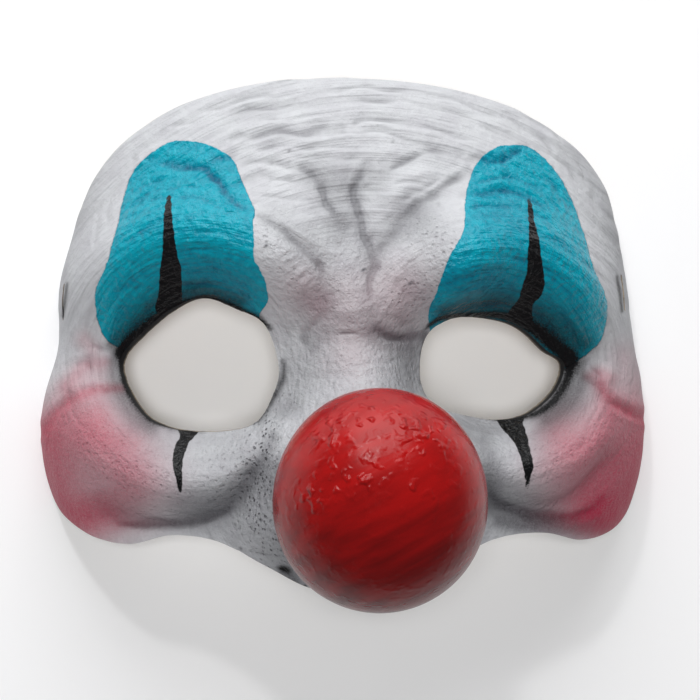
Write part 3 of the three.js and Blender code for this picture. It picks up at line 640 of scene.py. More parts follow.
class Face:
    """The form of the latex face, worked out from its named sizes."""

    def __init__(self, sizes, ball):
        self.sizes, self.ball = sizes, ball
        self.half_width = (sizes.left_reach + sizes.right_reach) / 2
        self.origin = eye_line(0)
        self.ball_place = np.array([ball.offset, -ball.drop, ball.reach])
        self.ball_squash = np.array([1, ball.height / ball.width, 1])
        self.folds = []
        for path, width, rise in FOLDS:
            line = smooth_line(np.array(path) * (self.half_width, sizes.top), steps=7)
            self.folds.append((line, width * self.half_width, rise))

    def level(self, turn, share):
        """Height above the eye line: the given share of the way from the lower to the upper edge."""
        s = self.sizes
        away = np.abs(turn)
        top = s.top * through(TOP_EDGE, "turn", "rise", away)
        dip = (s.lip_drop - s.cheek_drop) * np.maximum(through(LOWER_EDGE, "turn", "dip", away), 0)
        low = -s.cheek_drop * through(LOWER_EDGE, "turn", "drop", away) - dip
        return low + (top - low) * share

    def smooth(self, turn, y):
        """Half an ellipse at each level: across goes with the sine of the turn, out with its cosine."""
        s = self.sizes
        height = (y + s.cheek_drop) / (s.top + s.cheek_drop)
        left = s.left_reach * through(SECTIONS, "height", "left", height)
        right = s.right_reach * through(SECTIONS, "height", "right", height)
        depth = s.depth * through(SECTIONS, "height", "depth", height)
        angle = turn * math.pi / 2
        return np.stack([np.where(turn < 0, left, right) * np.sin(angle), y, depth * np.cos(angle)], axis=-1)

    def outward(self, turn, y):
        """Unit vectors square to the smooth form, from the product of its slopes across and up."""
        step = 0.5 * MM
        turned = step / self.half_width
        across = self.smooth(turn + turned, y) - self.smooth(turn - turned, y)
        up = self.smooth(turn, y + step) - self.smooth(turn, y - step)
        normal = np.cross(across, up)
        return normal / np.linalg.norm(normal, axis=-1, keepdims=True)

    def bumps(self):
        """Places and sizes of the bulges, the hollows round the eye holes and the mound under the ball."""
        s, b = self.sizes, self.ball
        for across, up, wide, tall, rise, square in MOUNDS:
            across, wide = across * self.half_width, wide * self.half_width
            yield across, up * s.top, wide, tall * s.top, rise * s.depth, square
        wide = s.socket_spread * s.eye_width / 2
        for side, height, drop in ((-1, s.left_eye_height, 0), (1, s.right_eye_height, s.right_eye_drop)):
            across, tall = side * s.eye_spacing / 2, s.socket_spread * height / 2
            yield across, -drop, wide, tall, -s.socket_depth, SOCKET_SQUARE
        seat, rise = b.seat_spread / 2, b.reach - b.seat - s.depth
        yield b.offset, -b.drop, seat * b.width, seat * b.height, rise, SEAT_SQUARE

    def relief(self, x, y):
        """How far the sculpted face stands off the smooth form: bells with square shoulders for the bulges,
        and a row of round bells along the path of each fold."""
        rise = np.zeros_like(x)
        for at_x, at_y, wide, tall, high, square in self.bumps():
            rise += high * np.exp(-(np.hypot((x - at_x) / wide, (y - at_y) / tall) ** square))
        for points, width, high in self.folds:
            stretches = np.linalg.norm(np.diff(points, axis=0), axis=1)
            share = np.convolve(stretches, (0.5, 0.5)) / (width * math.sqrt(math.pi))
            bells = sum(
                weight * np.exp(-((x - at_x) ** 2 + (y - at_y) ** 2) / width**2)
                for (at_x, at_y), weight in zip(points, share)
            )
            rise += high * self.sizes.depth * bells
        return rise

    def fine(self, at):
        """Skin folds, creases and knobs over the main form, by their places in the picture. The folds are
        waves across the skin's lines, which bend and come and go."""
        point = bpy.context.scene.mask_stage.point / MM
        x, y = at.T
        ring, arch, outer = courses(at)
        bend = sum(swing * np.sin(x / across + y / down) for swing, across, down in FOLD_SWAY)
        waves = (1 - outer) * np.sin(math.tau * ring / RING_FOLD + bend)
        waves += outer * np.sin(math.tau * arch / ARCH_FOLD + bend)
        hold, swing = FOLD_HOLD
        come_and_go = hold + swing * ripple(x + FOLD_SLANT * y, y, *FOLD_HOLD_WAVE)
        rise = FOLD_HEIGHT * waves * come_and_go * (1 - strokes(at, SMOOTH))
        # hand-cut lines waver by a point or two and run deep and shallow
        across, down = CREASE_WAVER_WAVES
        waver = at + CREASE_WAVER * np.stack([ripple(y, x, *across), ripple(x, y, *down)], axis=1)
        hold, swing = CREASE_HOLD
        across, down = CREASE_HOLD_WAVES
        uneven = hold + swing * ripple(x, y, *across) * ripple(y, x, *down)
        for path, width, depth in CREASES:
            line = smooth_line(path, steps=6)
            near = (at > line.min(axis=0) - CREASE_MARGIN) & (at < line.max(axis=0) + CREASE_MARGIN)
            near = near.all(axis=1)
            away = nearest(waver[near], line) * point / width
            ends = np.minimum(*(np.linalg.norm(at[near] - line[n], axis=1) for n in (0, -1))) * point
            fade = np.clip(ends / (CREASE_TAPER * width), CREASE_END, 1) * uneven[near]
            # a groove with a low lip on both sides
            lips = LIP_RISE * np.exp(-((away - LIP_PLACE) ** 2))
            rise[near] += CREASE_GAIN * depth * fade * (lips - np.exp(-(away**2)))
        for across, down, radius, height in KNOBS:
            away = np.hypot(x - across, y - down) * point / radius
            rise += height * np.exp(-(away**2))
        # however many creases meet, the floor of a groove keeps clear of the inner surface
        deepest = GROOVE_LIMIT * self.sizes.wall / MM
        return np.where(rise < 0, deepest * np.tanh(rise / deepest), rise) * MM

    def points(self, turn, share, inner=False):
        """The outer surface of the latex, or its inner surface one wall deeper, which carries no fine
        creases. The wall is measured square to the smooth form, so it is stretched where the relief is
        steep, by the length of its slopes and one."""
        y = self.level(turn, share)
        base = self.smooth(turn, y)
        normal = self.outward(turn, y)
        x = base[:, 0]
        rise = self.relief(x, y)
        if inner:
            step = 1 * MM
            slope_x = (self.relief(x + step, y) - self.relief(x - step, y)) / (2 * step)
            slope_y = (self.relief(x, y + step) - self.relief(x, y - step)) / (2 * step)
            wall = self.sizes.wall * np.minimum(np.sqrt(1 + slope_x**2 + slope_y**2), WALL_STRETCH)
            return base + normal * (rise - wall)[:, None] + self.origin
        main = base + normal * rise[:, None] + self.origin
        return main + normal * self.fine(picture(main))[:, None]

    def holes(self):
        """Functions of place that are above zero on the latex and below zero in a hole, in metres."""
        s, b = self.sizes, self.ball

        def eye(side, rows, height, drop):
            """The depth in the hole's outline, turned over."""
            corners = np.array(rows) * (side * s.eye_width / 2, height / 2)
            corners += (side * s.eye_spacing / 2, -drop)
            return lambda p: -depth_in(p[:, :2], corners)

        def slit(side, height, inset):
            """Seen from the side: the distance to a leaning line, less half the slit's width."""
            radius = s.slit_width / 2
            reach = s.slit_length / 2 - radius
            along = (math.sin(SLIT_TILT), -side * math.cos(SLIT_TILT))
            line = np.array([inset * MM, height * MM]) + np.outer((-reach, reach), along)
            return lambda p: np.where(
                p[:, 0] * side > self.half_width / 2, nearest(p[:, [2, 1]], line) - radius, 1
            )

        def seat(p):
            """The distance to the ball, less its gap."""
            rounded = (p - self.ball_place) / self.ball_squash
            return np.linalg.norm(rounded, axis=1) - b.width / 2 - b.gap

        yield eye(-1, LEFT_EYE, s.left_eye_height, 0)
        yield eye(1, RIGHT_EYE, s.right_eye_height, s.right_eye_drop)
        for side, height, inset in SLITS:
            yield slit(side, height, inset)
        yield seat


def grid_triangles(rows, columns):
    """Two triangles for each square of a grid of points, counted row by row."""
    corner = (np.arange(rows)[:, None] * (columns + 1) + np.arange(columns)).ravel()
    a, b, c, d = corner, corner + 1, corner + columns + 2, corner + columns + 1
    return np.concatenate([np.stack([a, b, c], axis=1), np.stack([a, c, d], axis=1)])


def cut_away(params, triangles, distance, snap):
    """Keeps the part of a grid where distance is above zero. A point nearer the cut than snap counts as on
    it. A crossed triangle is cut along the straight line between its crossed edges, which leaves one
    triangle or two."""
    distance = np.where(np.abs(distance) < snap, 0, distance)
    gone = distance < 0
    count = gone[triangles].sum(axis=1)
    result = [triangles[count == 0]]
    edges = []
    for removed in (1, 2):
        cut = triangles[count == removed]
        odd = gone[cut] == (removed == 1)
        turn = (np.argmax(odd, axis=1)[:, None] + np.arange(3)) % 3
        edges.append(np.take_along_axis(cut, turn, axis=1))
    one, two = edges
    # ends of each crossed edge, kept end first
    pairs = np.concatenate([one[:, [1, 0]], one[:, [2, 0]], two[:, [0, 1]], two[:, [0, 2]]])
    unique, place = np.unique(pairs, axis=0, return_inverse=True)
    kept, lost = unique.T
    share = distance[kept] / (distance[kept] - distance[lost])
    added = params[kept] + share[:, None] * (params[lost] - params[kept])
    index = np.where(distance[kept] == 0, kept, len(params) + np.arange(len(unique)))[place.ravel()]
    n, m = len(one), len(two)
    first, second, third, fourth = index[:n], index[n : 2 * n], index[2 * n : 2 * n + m], index[2 * n + m :]
    result += [np.stack([first, one[:, 1], one[:, 2]], axis=1), np.stack([first, one[:, 2], second], axis=1)]
    result.append(np.stack([two[:, 0], third, fourth], axis=1))
    triangles = np.concatenate(result)
    same = (triangles == np.roll(triangles, 1, axis=1)).any(axis=1)
    used, triangles = np.unique(triangles[~same], return_inverse=True)
    return np.vstack([params, added])[used], triangles.reshape(-1, 3)


def sides(triangles):
    """The three sides of each triangle, in the triangle's direction."""
    return np.concatenate([triangles[:, [0, 1]], triangles[:, [1, 2]], triangles[:, [2, 0]]])


def free_edges(triangles):
    """Edges that only one triangle uses, in that triangle's direction."""
    edges = sides(triangles)
    _, first, count = np.unique(np.sort(edges, axis=1), axis=0, return_index=True, return_counts=True)
    return edges[first[count == 1]]


def solid_sheet(outer, inner, triangles):
    """A closed body: the outer sheet, the inner sheet turned round, and a strip between their free edges.
    Also gives which of the three each triangle belongs to."""
    n = len(outer)
    a, b = free_edges(triangles).T
    strip = np.concatenate([np.stack([b, a, a + n], axis=1), np.stack([b, a + n, b + n], axis=1)])
    parts = [triangles, triangles[:, ::-1] + n, strip]
    kinds = np.repeat([0, 1, 2], [len(part) for part in parts])
    return np.vstack([outer, inner]), np.concatenate(parts), kinds


def make_piece(name, points, triangles, kinds, materials, values):
    """A mesh object at the origin with smooth faces, sharp at its cut edges, a material for each kind of
    face and one number per point for each named value."""
    mesh = bpy.data.meshes.new(name)
    mesh.vertices.add(len(points))
    mesh.vertices.foreach_set("co", points.astype(np.float32).ravel())
    mesh.loops.add(triangles.size)
    mesh.loops.foreach_set("vertex_index", triangles.astype(np.int32).ravel())
    mesh.polygons.add(len(triangles))
    mesh.polygons.foreach_set("loop_start", np.arange(0, triangles.size, 3, dtype=np.int32))
    mesh.polygons.foreach_set("material_index", kinds.astype(np.int32))
    mesh.update(calc_edges=True)
    mesh.validate()
    for material in materials:
        mesh.materials.append(material)
    for key, numbers in values.items():
        full = np.zeros(len(points), np.float32)
        full[: len(numbers)] = numbers
        mesh.attributes.new(key, "FLOAT", "POINT").data.foreach_set("value", full)
    mesh.shade_smooth()
    mesh.set_sharp_from_angle(angle=SHARP_FROM)
    piece = bpy.data.objects.new(name, mesh)
    bpy.context.scene.collection.objects.link(piece)
    return piece


def hollowness(points, triangles, rounds):
    """How far each point lies under the mean of its surroundings, in mm: the sheet is averaged over its
    neighbours for some rounds, and the shift is measured along the sheet's own normals."""
    n = len(points)
    edges = np.unique(np.sort(sides(triangles)), axis=0)
    a, b = edges.T
    count = np.bincount(edges.ravel(), minlength=n)
    soft = points
    for _ in range(rounds):
        total = [np.bincount(a, soft[b, i], n) + np.bincount(b, soft[a, i], n) for i in range(3)]
        soft = 0.5 * soft + 0.5 * np.stack(total, axis=1) / count[:, None]
    first, second, third = (points[triangles[:, i]] for i in range(3))
    faces = np.cross(second - first, third - first)
    total = [np.bincount(triangles.ravel(), np.repeat(faces[:, i], 3), n) for i in range(3)]
    normal = np.stack(total, axis=1)
    normal /= np.linalg.norm(normal, axis=1, keepdims=True) + 1e-20
    return ((soft - points) * normal).sum(axis=1) / MM


def camera_axes():
    """Place of the camera and its right, up and backward axes: it looks straight down on the mask, turned
    by the yaw about the face's upright."""
    stage = bpy.context.scene.mask_stage
    back = np.array([-math.sin(stage.yaw), 0, math.cos(stage.yaw)])
    right = np.array([math.cos(stage.yaw), 0, math.sin(stage.yaw)])
    up = np.array([0.0, 1.0, 0.0])
    aim = eye_line(stage.eye_level) + stage.point * (AIM_ACROSS * right + AIM_UP * up)
    return aim + stage.distance * back, right, up, back


def picture(points):
    """Where points fall in the picture, in perspective."""
    stage = bpy.context.scene.mask_stage
    place, right, up, back = camera_axes()
    to = points - place
    scale = stage.distance / stage.point / -(to @ back)
    return np.stack([PICTURE / 2 + to @ right * scale, PICTURE / 2 - to @ up * scale], axis=1)


def add(tree, kind, inputs=(), **settings):
    """Adds a node with its settings. An input takes a value, or a link from a socket or another node's
    first output in use. Inputs go by name, or by number where a node has several of one name."""
    made = tree.nodes.new(kind)
    for key, value in settings.items():
        setattr(made, key, value)
    for key, value in dict(inputs).items():
        if isinstance(key, int):
            socket = made.inputs[key]
        else:
            socket = next(s for s in made.inputs if s.enabled and s.name == key)
        if isinstance(value, bpy.types.Node):
            value = next(s for s in value.outputs if s.enabled)
        if isinstance(value, bpy.types.NodeSocket):
            tree.links.new(value, socket)
        elif socket.type == "RGBA" and len(value) == 3:
            socket.default_value = (*value, 1)
        else:
            socket.default_value = value
    return made


def new_material(name):
    """An empty material and its node tree."""
    material = bpy.data.materials.new(name)
    material.use_nodes = True
    material.node_tree.nodes.clear()
    return material, material.node_tree


def in_mm(tree):
    """Object coordinates in mm."""
    place = add(tree, "ShaderNodeTexCoord").outputs["Object"]
    return add(tree, "ShaderNodeVectorMath", {0: place, "Scale": 1 / MM}, operation="SCALE")


def values_of(tree, *names):
    """The numbers that the piece carries under these names."""
    return {key: add(tree, "ShaderNodeAttribute", attribute_name=key).outputs["Fac"] for key in names}


def mixed(tree, factor, under, over):
    """The colour over, laid on the colour under as far as the factor says."""
    return add(tree, "ShaderNodeMix", {"Factor": factor, "A": under, "B": over}, data_type="RGBA")


def painted(tree, depth, edge):
    """Cover of brushed paint: full where the depth inside its outline, in mm, is above zero, with an
    outline that wavers by the edge."""
    inside_by = add(tree, "ShaderNodeMath", {0: depth, 1: edge}, operation="ADD")
    melt = {"From Min": -PAINT_MELT, "From Max": PAINT_MELT}
    return add(tree, "ShaderNodeMapRange", {"Value": inside_by, **melt})


def along_lines(tree, place, key, across, along):
    """Coordinates for noise whose grain is across mm wide, over the lines that the named value counts in
    mm, and along mm long."""
    apart = add(tree, "ShaderNodeSeparateXYZ", {"Vector": place})
    lines = add(tree, "ShaderNodeAttribute", attribute_name=key).outputs["Fac"]
    scaled = [
        add(tree, "ShaderNodeMath", {0: value, 1: 1 / grain}, operation="MULTIPLY")
        for value, grain in ((lines, across), (apart.outputs["X"], along), (apart.outputs["Y"], along))
    ]
    return add(tree, "ShaderNodeCombineXYZ", dict(zip("XYZ", scaled)))


def set_surface(tree, inputs):
    """The surface that ends a material."""
    shader = add(tree, "ShaderNodeBsdfPrincipled", inputs)
    add(tree, "ShaderNodeOutputMaterial", {"Surface": shader.outputs["BSDF"]})


def painted_latex(paint):
    """Acrylic and airbrush paint on cast latex: matt white ground, glossier brushed teal and black, sprayed
    grey and red with a fine speckle, all over the skin's wrinkles and pores. Grey, black and deep teal also
    lay painted shade in the hollows, creases and pores, under the brows and rolls and round the eye holes."""
    material, tree = new_material("airbrushed_latex")
    place = in_mm(tree)
    got = values_of(
        tree, "teal", "slit", "blush", "black_and_shade", "grime_and_shade", "pits", "smooth", "hollow", "speck", "outer"
    )

    # Patterns by their real grain in mm
    spray = add(tree, "ShaderNodeTexNoise",
                {"Vector": place, "Scale": 1 / 0.45, "Detail": 2, "Roughness": 0.7})
    mottle = add(tree, "ShaderNodeTexNoise",
                 {"Vector": place, "Scale": 1 / 8, "Detail": 4, "Roughness": 0.65})
    wobble = add(tree, "ShaderNodeTexNoise",
                 {"Vector": place, "Scale": 1 / 2.2, "Detail": 3, "Roughness": 0.6})
    pores = add(tree, "ShaderNodeTexVoronoi",
                {"Vector": place, "Scale": 1 / 1.3, "Randomness": 1.0}, feature="F1")
    peel = add(tree, "ShaderNodeTexNoise",
               {"Vector": place, "Scale": 1 / 1.7, "Detail": 3, "Roughness": 0.5})

    # Wrinkles: noise that is narrow across the skin's lines and long along them. The lines run round the
    # eyes, and over the forehead and the temples they run in wide arches.
    lines = {"Scale": 1.0, "Detail": 2, "Roughness": 0.5, "Lacunarity": 2.3}
    wrinkles = [
        add(tree, "ShaderNodeTexNoise", {"Vector": along_lines(tree, place, key, across, along), **lines})
        for key, across, along in (("ring", 2.5, 22), ("arch", 3.0, 55))
    ]
    wrinkle = add(tree, "ShaderNodeMix", {"Factor": got["outer"], "A": wrinkles[0], "B": wrinkles[1]})
    lined = add(tree, "ShaderNodeMapRange", {"Value": got["smooth"], "To Min": 1.0, "To Max": 0.1})
    # painted shade in the valleys between the wrinkles
    valley_shade = add(tree, "ShaderNodeMapRange",
                 {"Value": wrinkle, "From Min": 0.46, "From Max": 0.3, "To Max": 0.15})
    valley_shade = add(tree, "ShaderNodeMath", {0: valley_shade, 1: lined}, operation="MULTIPLY")

    # Paint coverage, and painted shade
    edge = add(tree, "ShaderNodeMath", {0: wobble, 1: 0.9, 2: -0.45}, operation="MULTIPLY_ADD")
    teal = painted(tree, got["teal"], edge)
    slit = painted(tree, got["slit"], edge)
    grain = add(tree, "ShaderNodeMapRange",
                {"Value": spray, "From Min": 0.3, "From Max": 0.7, "To Min": 0.86, "To Max": 1.14})
    blush, grime_and_shade, black_and_shade = (
        add(tree, "ShaderNodeMath", {0: got[key], 1: grain}, operation="MULTIPLY", use_clamp=True)
        for key in ("blush", "grime_and_shade", "black_and_shade")
    )
    # painted shade in the hollows of the relief, laid in the grey
    hollow_shade = add(tree, "ShaderNodeMapRange",
                 {"Value": got["hollow"], "From Min": 0.02, "From Max": 0.4, "To Max": 0.4})
    pore = add(tree, "ShaderNodeMapRange", {"Value": pores, "From Min": 0.38, "From Max": 0.14})
    some = add(tree, "ShaderNodeMapRange", {"Value": wobble, "From Min": 0.4, "From Max": 0.52})
    pore = add(tree, "ShaderNodeMath", {0: pore, 1: some}, operation="MULTIPLY")
    pore = add(tree, "ShaderNodeMath", {0: pore, 1: got["pits"]}, operation="MULTIPLY", use_clamp=True)
    # the pores darkened: dirt in them, and painted shade in these small pits
    dirt = add(tree, "ShaderNodeMath", {0: pore, 1: got["pits"]}, operation="MULTIPLY", use_clamp=True)

    # Colours, from the ground up
    body = mixed(tree, mottle, paint.white, paint.shade)
    for factor in (hollow_shade, valley_shade, dirt, grime_and_shade):
        body = mixed(tree, factor, body, paint.grime_and_shade)
    body = mixed(tree, blush, body, paint.blush)
    # the teal goes to deep teal as painted shade in the hollows, the wrinkle valleys and the grey strokes,
    # and at random where its paint lies thicker
    thick = add(tree, "ShaderNodeMapRange",
                {"Value": wobble, "From Min": 0.4, "From Max": 0.7, "To Max": 0.35})
    teal_shade_and_thickness = add(tree, "ShaderNodeMath", {0: hollow_shade, 1: 1.5, 2: thick}, operation="MULTIPLY_ADD")
    teal_shade_and_thickness = add(tree, "ShaderNodeMath", {0: valley_shade, 1: 2.0, 2: teal_shade_and_thickness}, operation="MULTIPLY_ADD")
    teal_shade_and_thickness = add(tree, "ShaderNodeMath", {0: teal_shade_and_thickness, 1: grime_and_shade}, operation="ADD", use_clamp=True)
    body = mixed(tree, teal, body, mixed(tree, teal_shade_and_thickness, paint.teal, paint.deep_teal))
    body = mixed(tree, black_and_shade, body, paint.black)
    body = mixed(tree, slit, body, paint.black)
    body = mixed(tree, got["speck"], body, paint.grime_and_shade)

    # Gloss: brushed paint shines more than the sprayed ground
    brushed = add(tree, "ShaderNodeMath", {0: teal, 1: slit}, operation="MAXIMUM")
    rough = add(tree, "ShaderNodeMapRange", {"Value": brushed, "To Min": 0.48, "To Max": 0.17})
    rough = add(tree, "ShaderNodeMath", {0: mottle, 1: 0.1, 2: rough}, operation="MULTIPLY_ADD")

    # Surface in mm: wrinkles, the skin's orange peel, pores, then the tooth of the paint
    height = add(tree, "ShaderNodeMath", {0: wrinkle, 1: lined}, operation="MULTIPLY")
    peel_high = add(tree, "ShaderNodeMath", {0: got["pits"], 1: got["smooth"]}, operation="MAXIMUM")
    peel_high = add(tree, "ShaderNodeMath", {0: peel_high, 1: brushed}, operation="MAXIMUM")
    peel_high = add(tree, "ShaderNodeMapRange", {"Value": peel_high, "To Min": 0.35, "To Max": 0.95})
    peel_high = add(tree, "ShaderNodeMath", {0: peel_high, 1: peel}, operation="MULTIPLY")
    height = add(tree, "ShaderNodeMath", {0: height, 1: 1.7, 2: peel_high}, operation="MULTIPLY_ADD")
    height = add(tree, "ShaderNodeMath", {0: pore, 1: -0.5, 2: height}, operation="MULTIPLY_ADD")
    height = add(tree, "ShaderNodeMath", {0: spray, 1: 0.1, 2: height}, operation="MULTIPLY_ADD")
    bump = add(tree, "ShaderNodeBump", {"Height": height, "Strength": 1.0, "Distance": MM})
    set_surface(tree, {"Base Color": body, "Roughness": rough, "Normal": bump, "Specular IOR Level": 0.24})
    return material


def raw_latex(paint):
    """Cured natural latex as it leaves the plaster mould: cream, satin, with a soft cloudy tint."""
    material, tree = new_material("raw_cast_latex")
    place = in_mm(tree)
    cloud = add(tree, "ShaderNodeTexNoise", {"Vector": place, "Scale": 1 / 12, "Detail": 4, "Roughness": 0.6})
    tooth = add(tree, "ShaderNodeTexNoise", {"Vector": place, "Scale": 1 / 1.2, "Detail": 3})
    tint = mixed(tree, cloud, paint.latex, paint.cut)
    bump = add(tree, "ShaderNodeBump", {"Height": tooth, "Strength": 0.4, "Distance": 0.2 * MM})
    set_surface(tree, {"Base Color": tint, "Roughness": 0.55, "Normal": bump, "IOR": 1.52})
    return material


def cut_latex(paint):
    """The edge that scissors leave in latex: duller than the mould side, with rubbed-in dirt."""
    material, tree = new_material("scissor_cut_latex")
    dirt = add(tree, "ShaderNodeTexNoise",
               {"Vector": in_mm(tree), "Scale": 1 / 5, "Detail": 5, "Roughness": 0.7})
    dirty = add(tree, "ShaderNodeMapRange", {"Value": dirt, "From Min": 0.45, "From Max": 0.75})
    tint = mixed(tree, dirty, paint.cut, paint.grime_and_shade)
    # the black airbrush and the painted shade reach over the edge, and fade across it
    black_and_shade = values_of(tree, "black_and_shade")["black_and_shade"]
    black_and_shade = add(tree, "ShaderNodeMath", {0: black_and_shade, 1: 3.0}, operation="MULTIPLY", use_clamp=True)
    tint = mixed(tree, black_and_shade, tint, paint.black)
    bump = add(tree, "ShaderNodeBump", {"Height": dirt, "Strength": 0.3, "Distance": 0.3 * MM})
    set_surface(tree, {"Base Color": tint, "Roughness": 0.7, "Normal": bump, "IOR": 1.52})
    return material


def glossy_red(paint):
    """Thick gloss enamel brushed on the ball: deep red, with painted shade darker towards the underside, with
    standing blobs and brush streaks, worn through to the pale ball along its back edge."""
    material, tree = new_material("brushed_red_enamel")
    place = in_mm(tree)
    got = values_of(tree, "blobs", "bare", "under")
    # brush streaks: 24 mm long, 3.5 mm wide, rising to the right
    brushing = {"Vector": place, "Rotation": (0, 0, math.radians(28)), "Scale": (24, 3.5, 8)}
    turned = add(tree, "ShaderNodeMapping", brushing, vector_type="TEXTURE")
    streaks = add(tree, "ShaderNodeTexNoise", {"Vector": turned, "Scale": 1.0, "Detail": 3, "Roughness": 0.5})
    blob = add(tree, "ShaderNodeTexNoise",
               {"Vector": place, "Scale": 1 / 2.8, "Detail": 1, "Roughness": 0.4})
    wobble = add(tree, "ShaderNodeTexNoise",
                 {"Vector": place, "Scale": 1 / 3.5, "Detail": 4, "Roughness": 0.65})

    edge = add(tree, "ShaderNodeMath", {0: wobble, 1: 5, 2: -2.5}, operation="MULTIPLY_ADD")
    bare = add(tree, "ShaderNodeMath", {0: got["bare"], 1: edge}, operation="ADD")
    bare = add(tree, "ShaderNodeMapRange", {"Value": bare, "From Min": -0.5, "From Max": 0.7})
    # darker along the brush streaks, and painted shade towards the underside
    streaks_and_underside_shade = add(tree, "ShaderNodeMapRange",
               {"Value": streaks, "From Min": 0.35, "From Max": 0.75, "To Max": 0.4})
    streaks_and_underside_shade = add(tree, "ShaderNodeMath", {0: streaks_and_underside_shade, 1: got["under"]}, operation="ADD", use_clamp=True)
    tint = mixed(tree, bare, mixed(tree, streaks_and_underside_shade, paint.red, paint.maroon), paint.shade)

    # only the crests of the noise stand up, as soft separate drops
    stand = add(tree, "ShaderNodeMapRange",
                {"Value": blob, "From Min": 0.48, "From Max": 0.75, "To Max": 0.6},
                interpolation_type="SMOOTHSTEP")
    stand = add(tree, "ShaderNodeMath", {0: stand, 1: got["blobs"]}, operation="MULTIPLY")
    height = add(tree, "ShaderNodeMath", {0: streaks, 1: 0.12, 2: stand}, operation="MULTIPLY_ADD")
    bump = add(tree, "ShaderNodeBump", {"Height": height, "Strength": 1.0, "Distance": MM})
    rough = add(tree, "ShaderNodeMapRange", {"Value": bare, "To Min": 0.27, "To Max": 0.6})
    set_surface(tree, {"Base Color": tint, "Roughness": rough, "Normal": bump, "Specular IOR Level": 0.25})
    return material


def backdrop_paper(tint):
    """Matt studio paper: a pale even tone with a faint tooth."""
    material, tree = new_material("studio_paper")
    tooth = add(tree, "ShaderNodeTexNoise", {"Vector": in_mm(tree), "Scale": 1 / 1.5, "Detail": 2})
    bump = add(tree, "ShaderNodeBump", {"Height": tooth, "Strength": 0.1, "Distance": 0.05 * MM})
    set_surface(tree, {"Base Color": tint, "Roughness": 0.9, "Normal": bump})
    return material


def paint_values(points, triangles):
    """Numbers that the paint follows, one per point of the outer sheet."""
    at = picture(points)
    point = bpy.context.scene.mask_stage.point / MM
    ring, arch, outer = courses(at)
    speck = np.zeros(len(at))
    for x, y, radius in SPECKS:
        away = np.hypot(at[:, 0] - x, at[:, 1] - y) / radius
        speck = np.maximum(speck, np.clip(SPECK_FADE - away, 0, 1))
    return {
        "teal": np.max([depth_in(at, outline) for outline in TEAL_PAINT], axis=0) * point,
        "slit": np.max([depth_in(at, outline) for outline in SLIT_PAINT], axis=0) * point,
        "blush": strokes(at, BLUSH),
        # black airbrush and painted shade
        "black_and_shade": BLACK_AND_SHADE_COVER * strokes(at, BLACK_AND_SHADE),
        # grey airbrush and painted shade
        "grime_and_shade": strokes(at, GRIME_AND_SHADE),
        "pits": strokes(at, PITS),
        "smooth": strokes(at, SMOOTH),
        "ring": ring * point,
        "arch": arch * point,
        "outer": outer,
        # how far each point lies in a hollow, for the painted shade there
        "hollow": hollowness(points, triangles, rounds=10),
        "speck": speck,
    }


class MASK_OT_face_shell(bpy.types.Operator):
    """Makes the painted latex face with its eye holes, strap slits, the ball's seat and cut edges"""

    bl_idname = "mask.face_shell"
    bl_label = "Face shell"

    def execute(self, context):
        scene = context.scene
        sizes, ball = scene.mask_face, scene.mask_ball
        face = Face(sizes, ball)
        turn, share = np.meshgrid(np.linspace(-1, 1, sizes.columns + 1), np.linspace(0, 1, sizes.rows + 1))
        params = np.stack([turn.ravel(), share.ravel()], axis=1)
        triangles = grid_triangles(sizes.rows, sizes.columns)
        snap = 0.1 * MM
        for hole in face.holes():
            place = face.points(*params.T) - face.origin
            params, triangles = cut_away(params, triangles, hole(place), snap)
        outer = face.points(*params.T)
        inner = face.points(*params.T, inner=True)
        # round the seat, the inner sheet gives way to the ball and its gap
        middle = face.origin + face.ball_place
        away = np.linalg.norm((inner - middle) / face.ball_squash, axis=1, keepdims=True)
        inner = middle + (inner - middle) * np.maximum(1, (ball.width / 2 + ball.gap) / away)
        points, faces, kinds = solid_sheet(outer, inner, triangles)
        paint = scene.mask_paint
        materials = [painted_latex(paint), raw_latex(paint), cut_latex(paint)]
        piece = make_piece("latex_face", points, faces, kinds, materials, paint_values(outer, triangles))
        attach(piece, "root")
        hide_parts("face_shell")
        return {"FINISHED"}


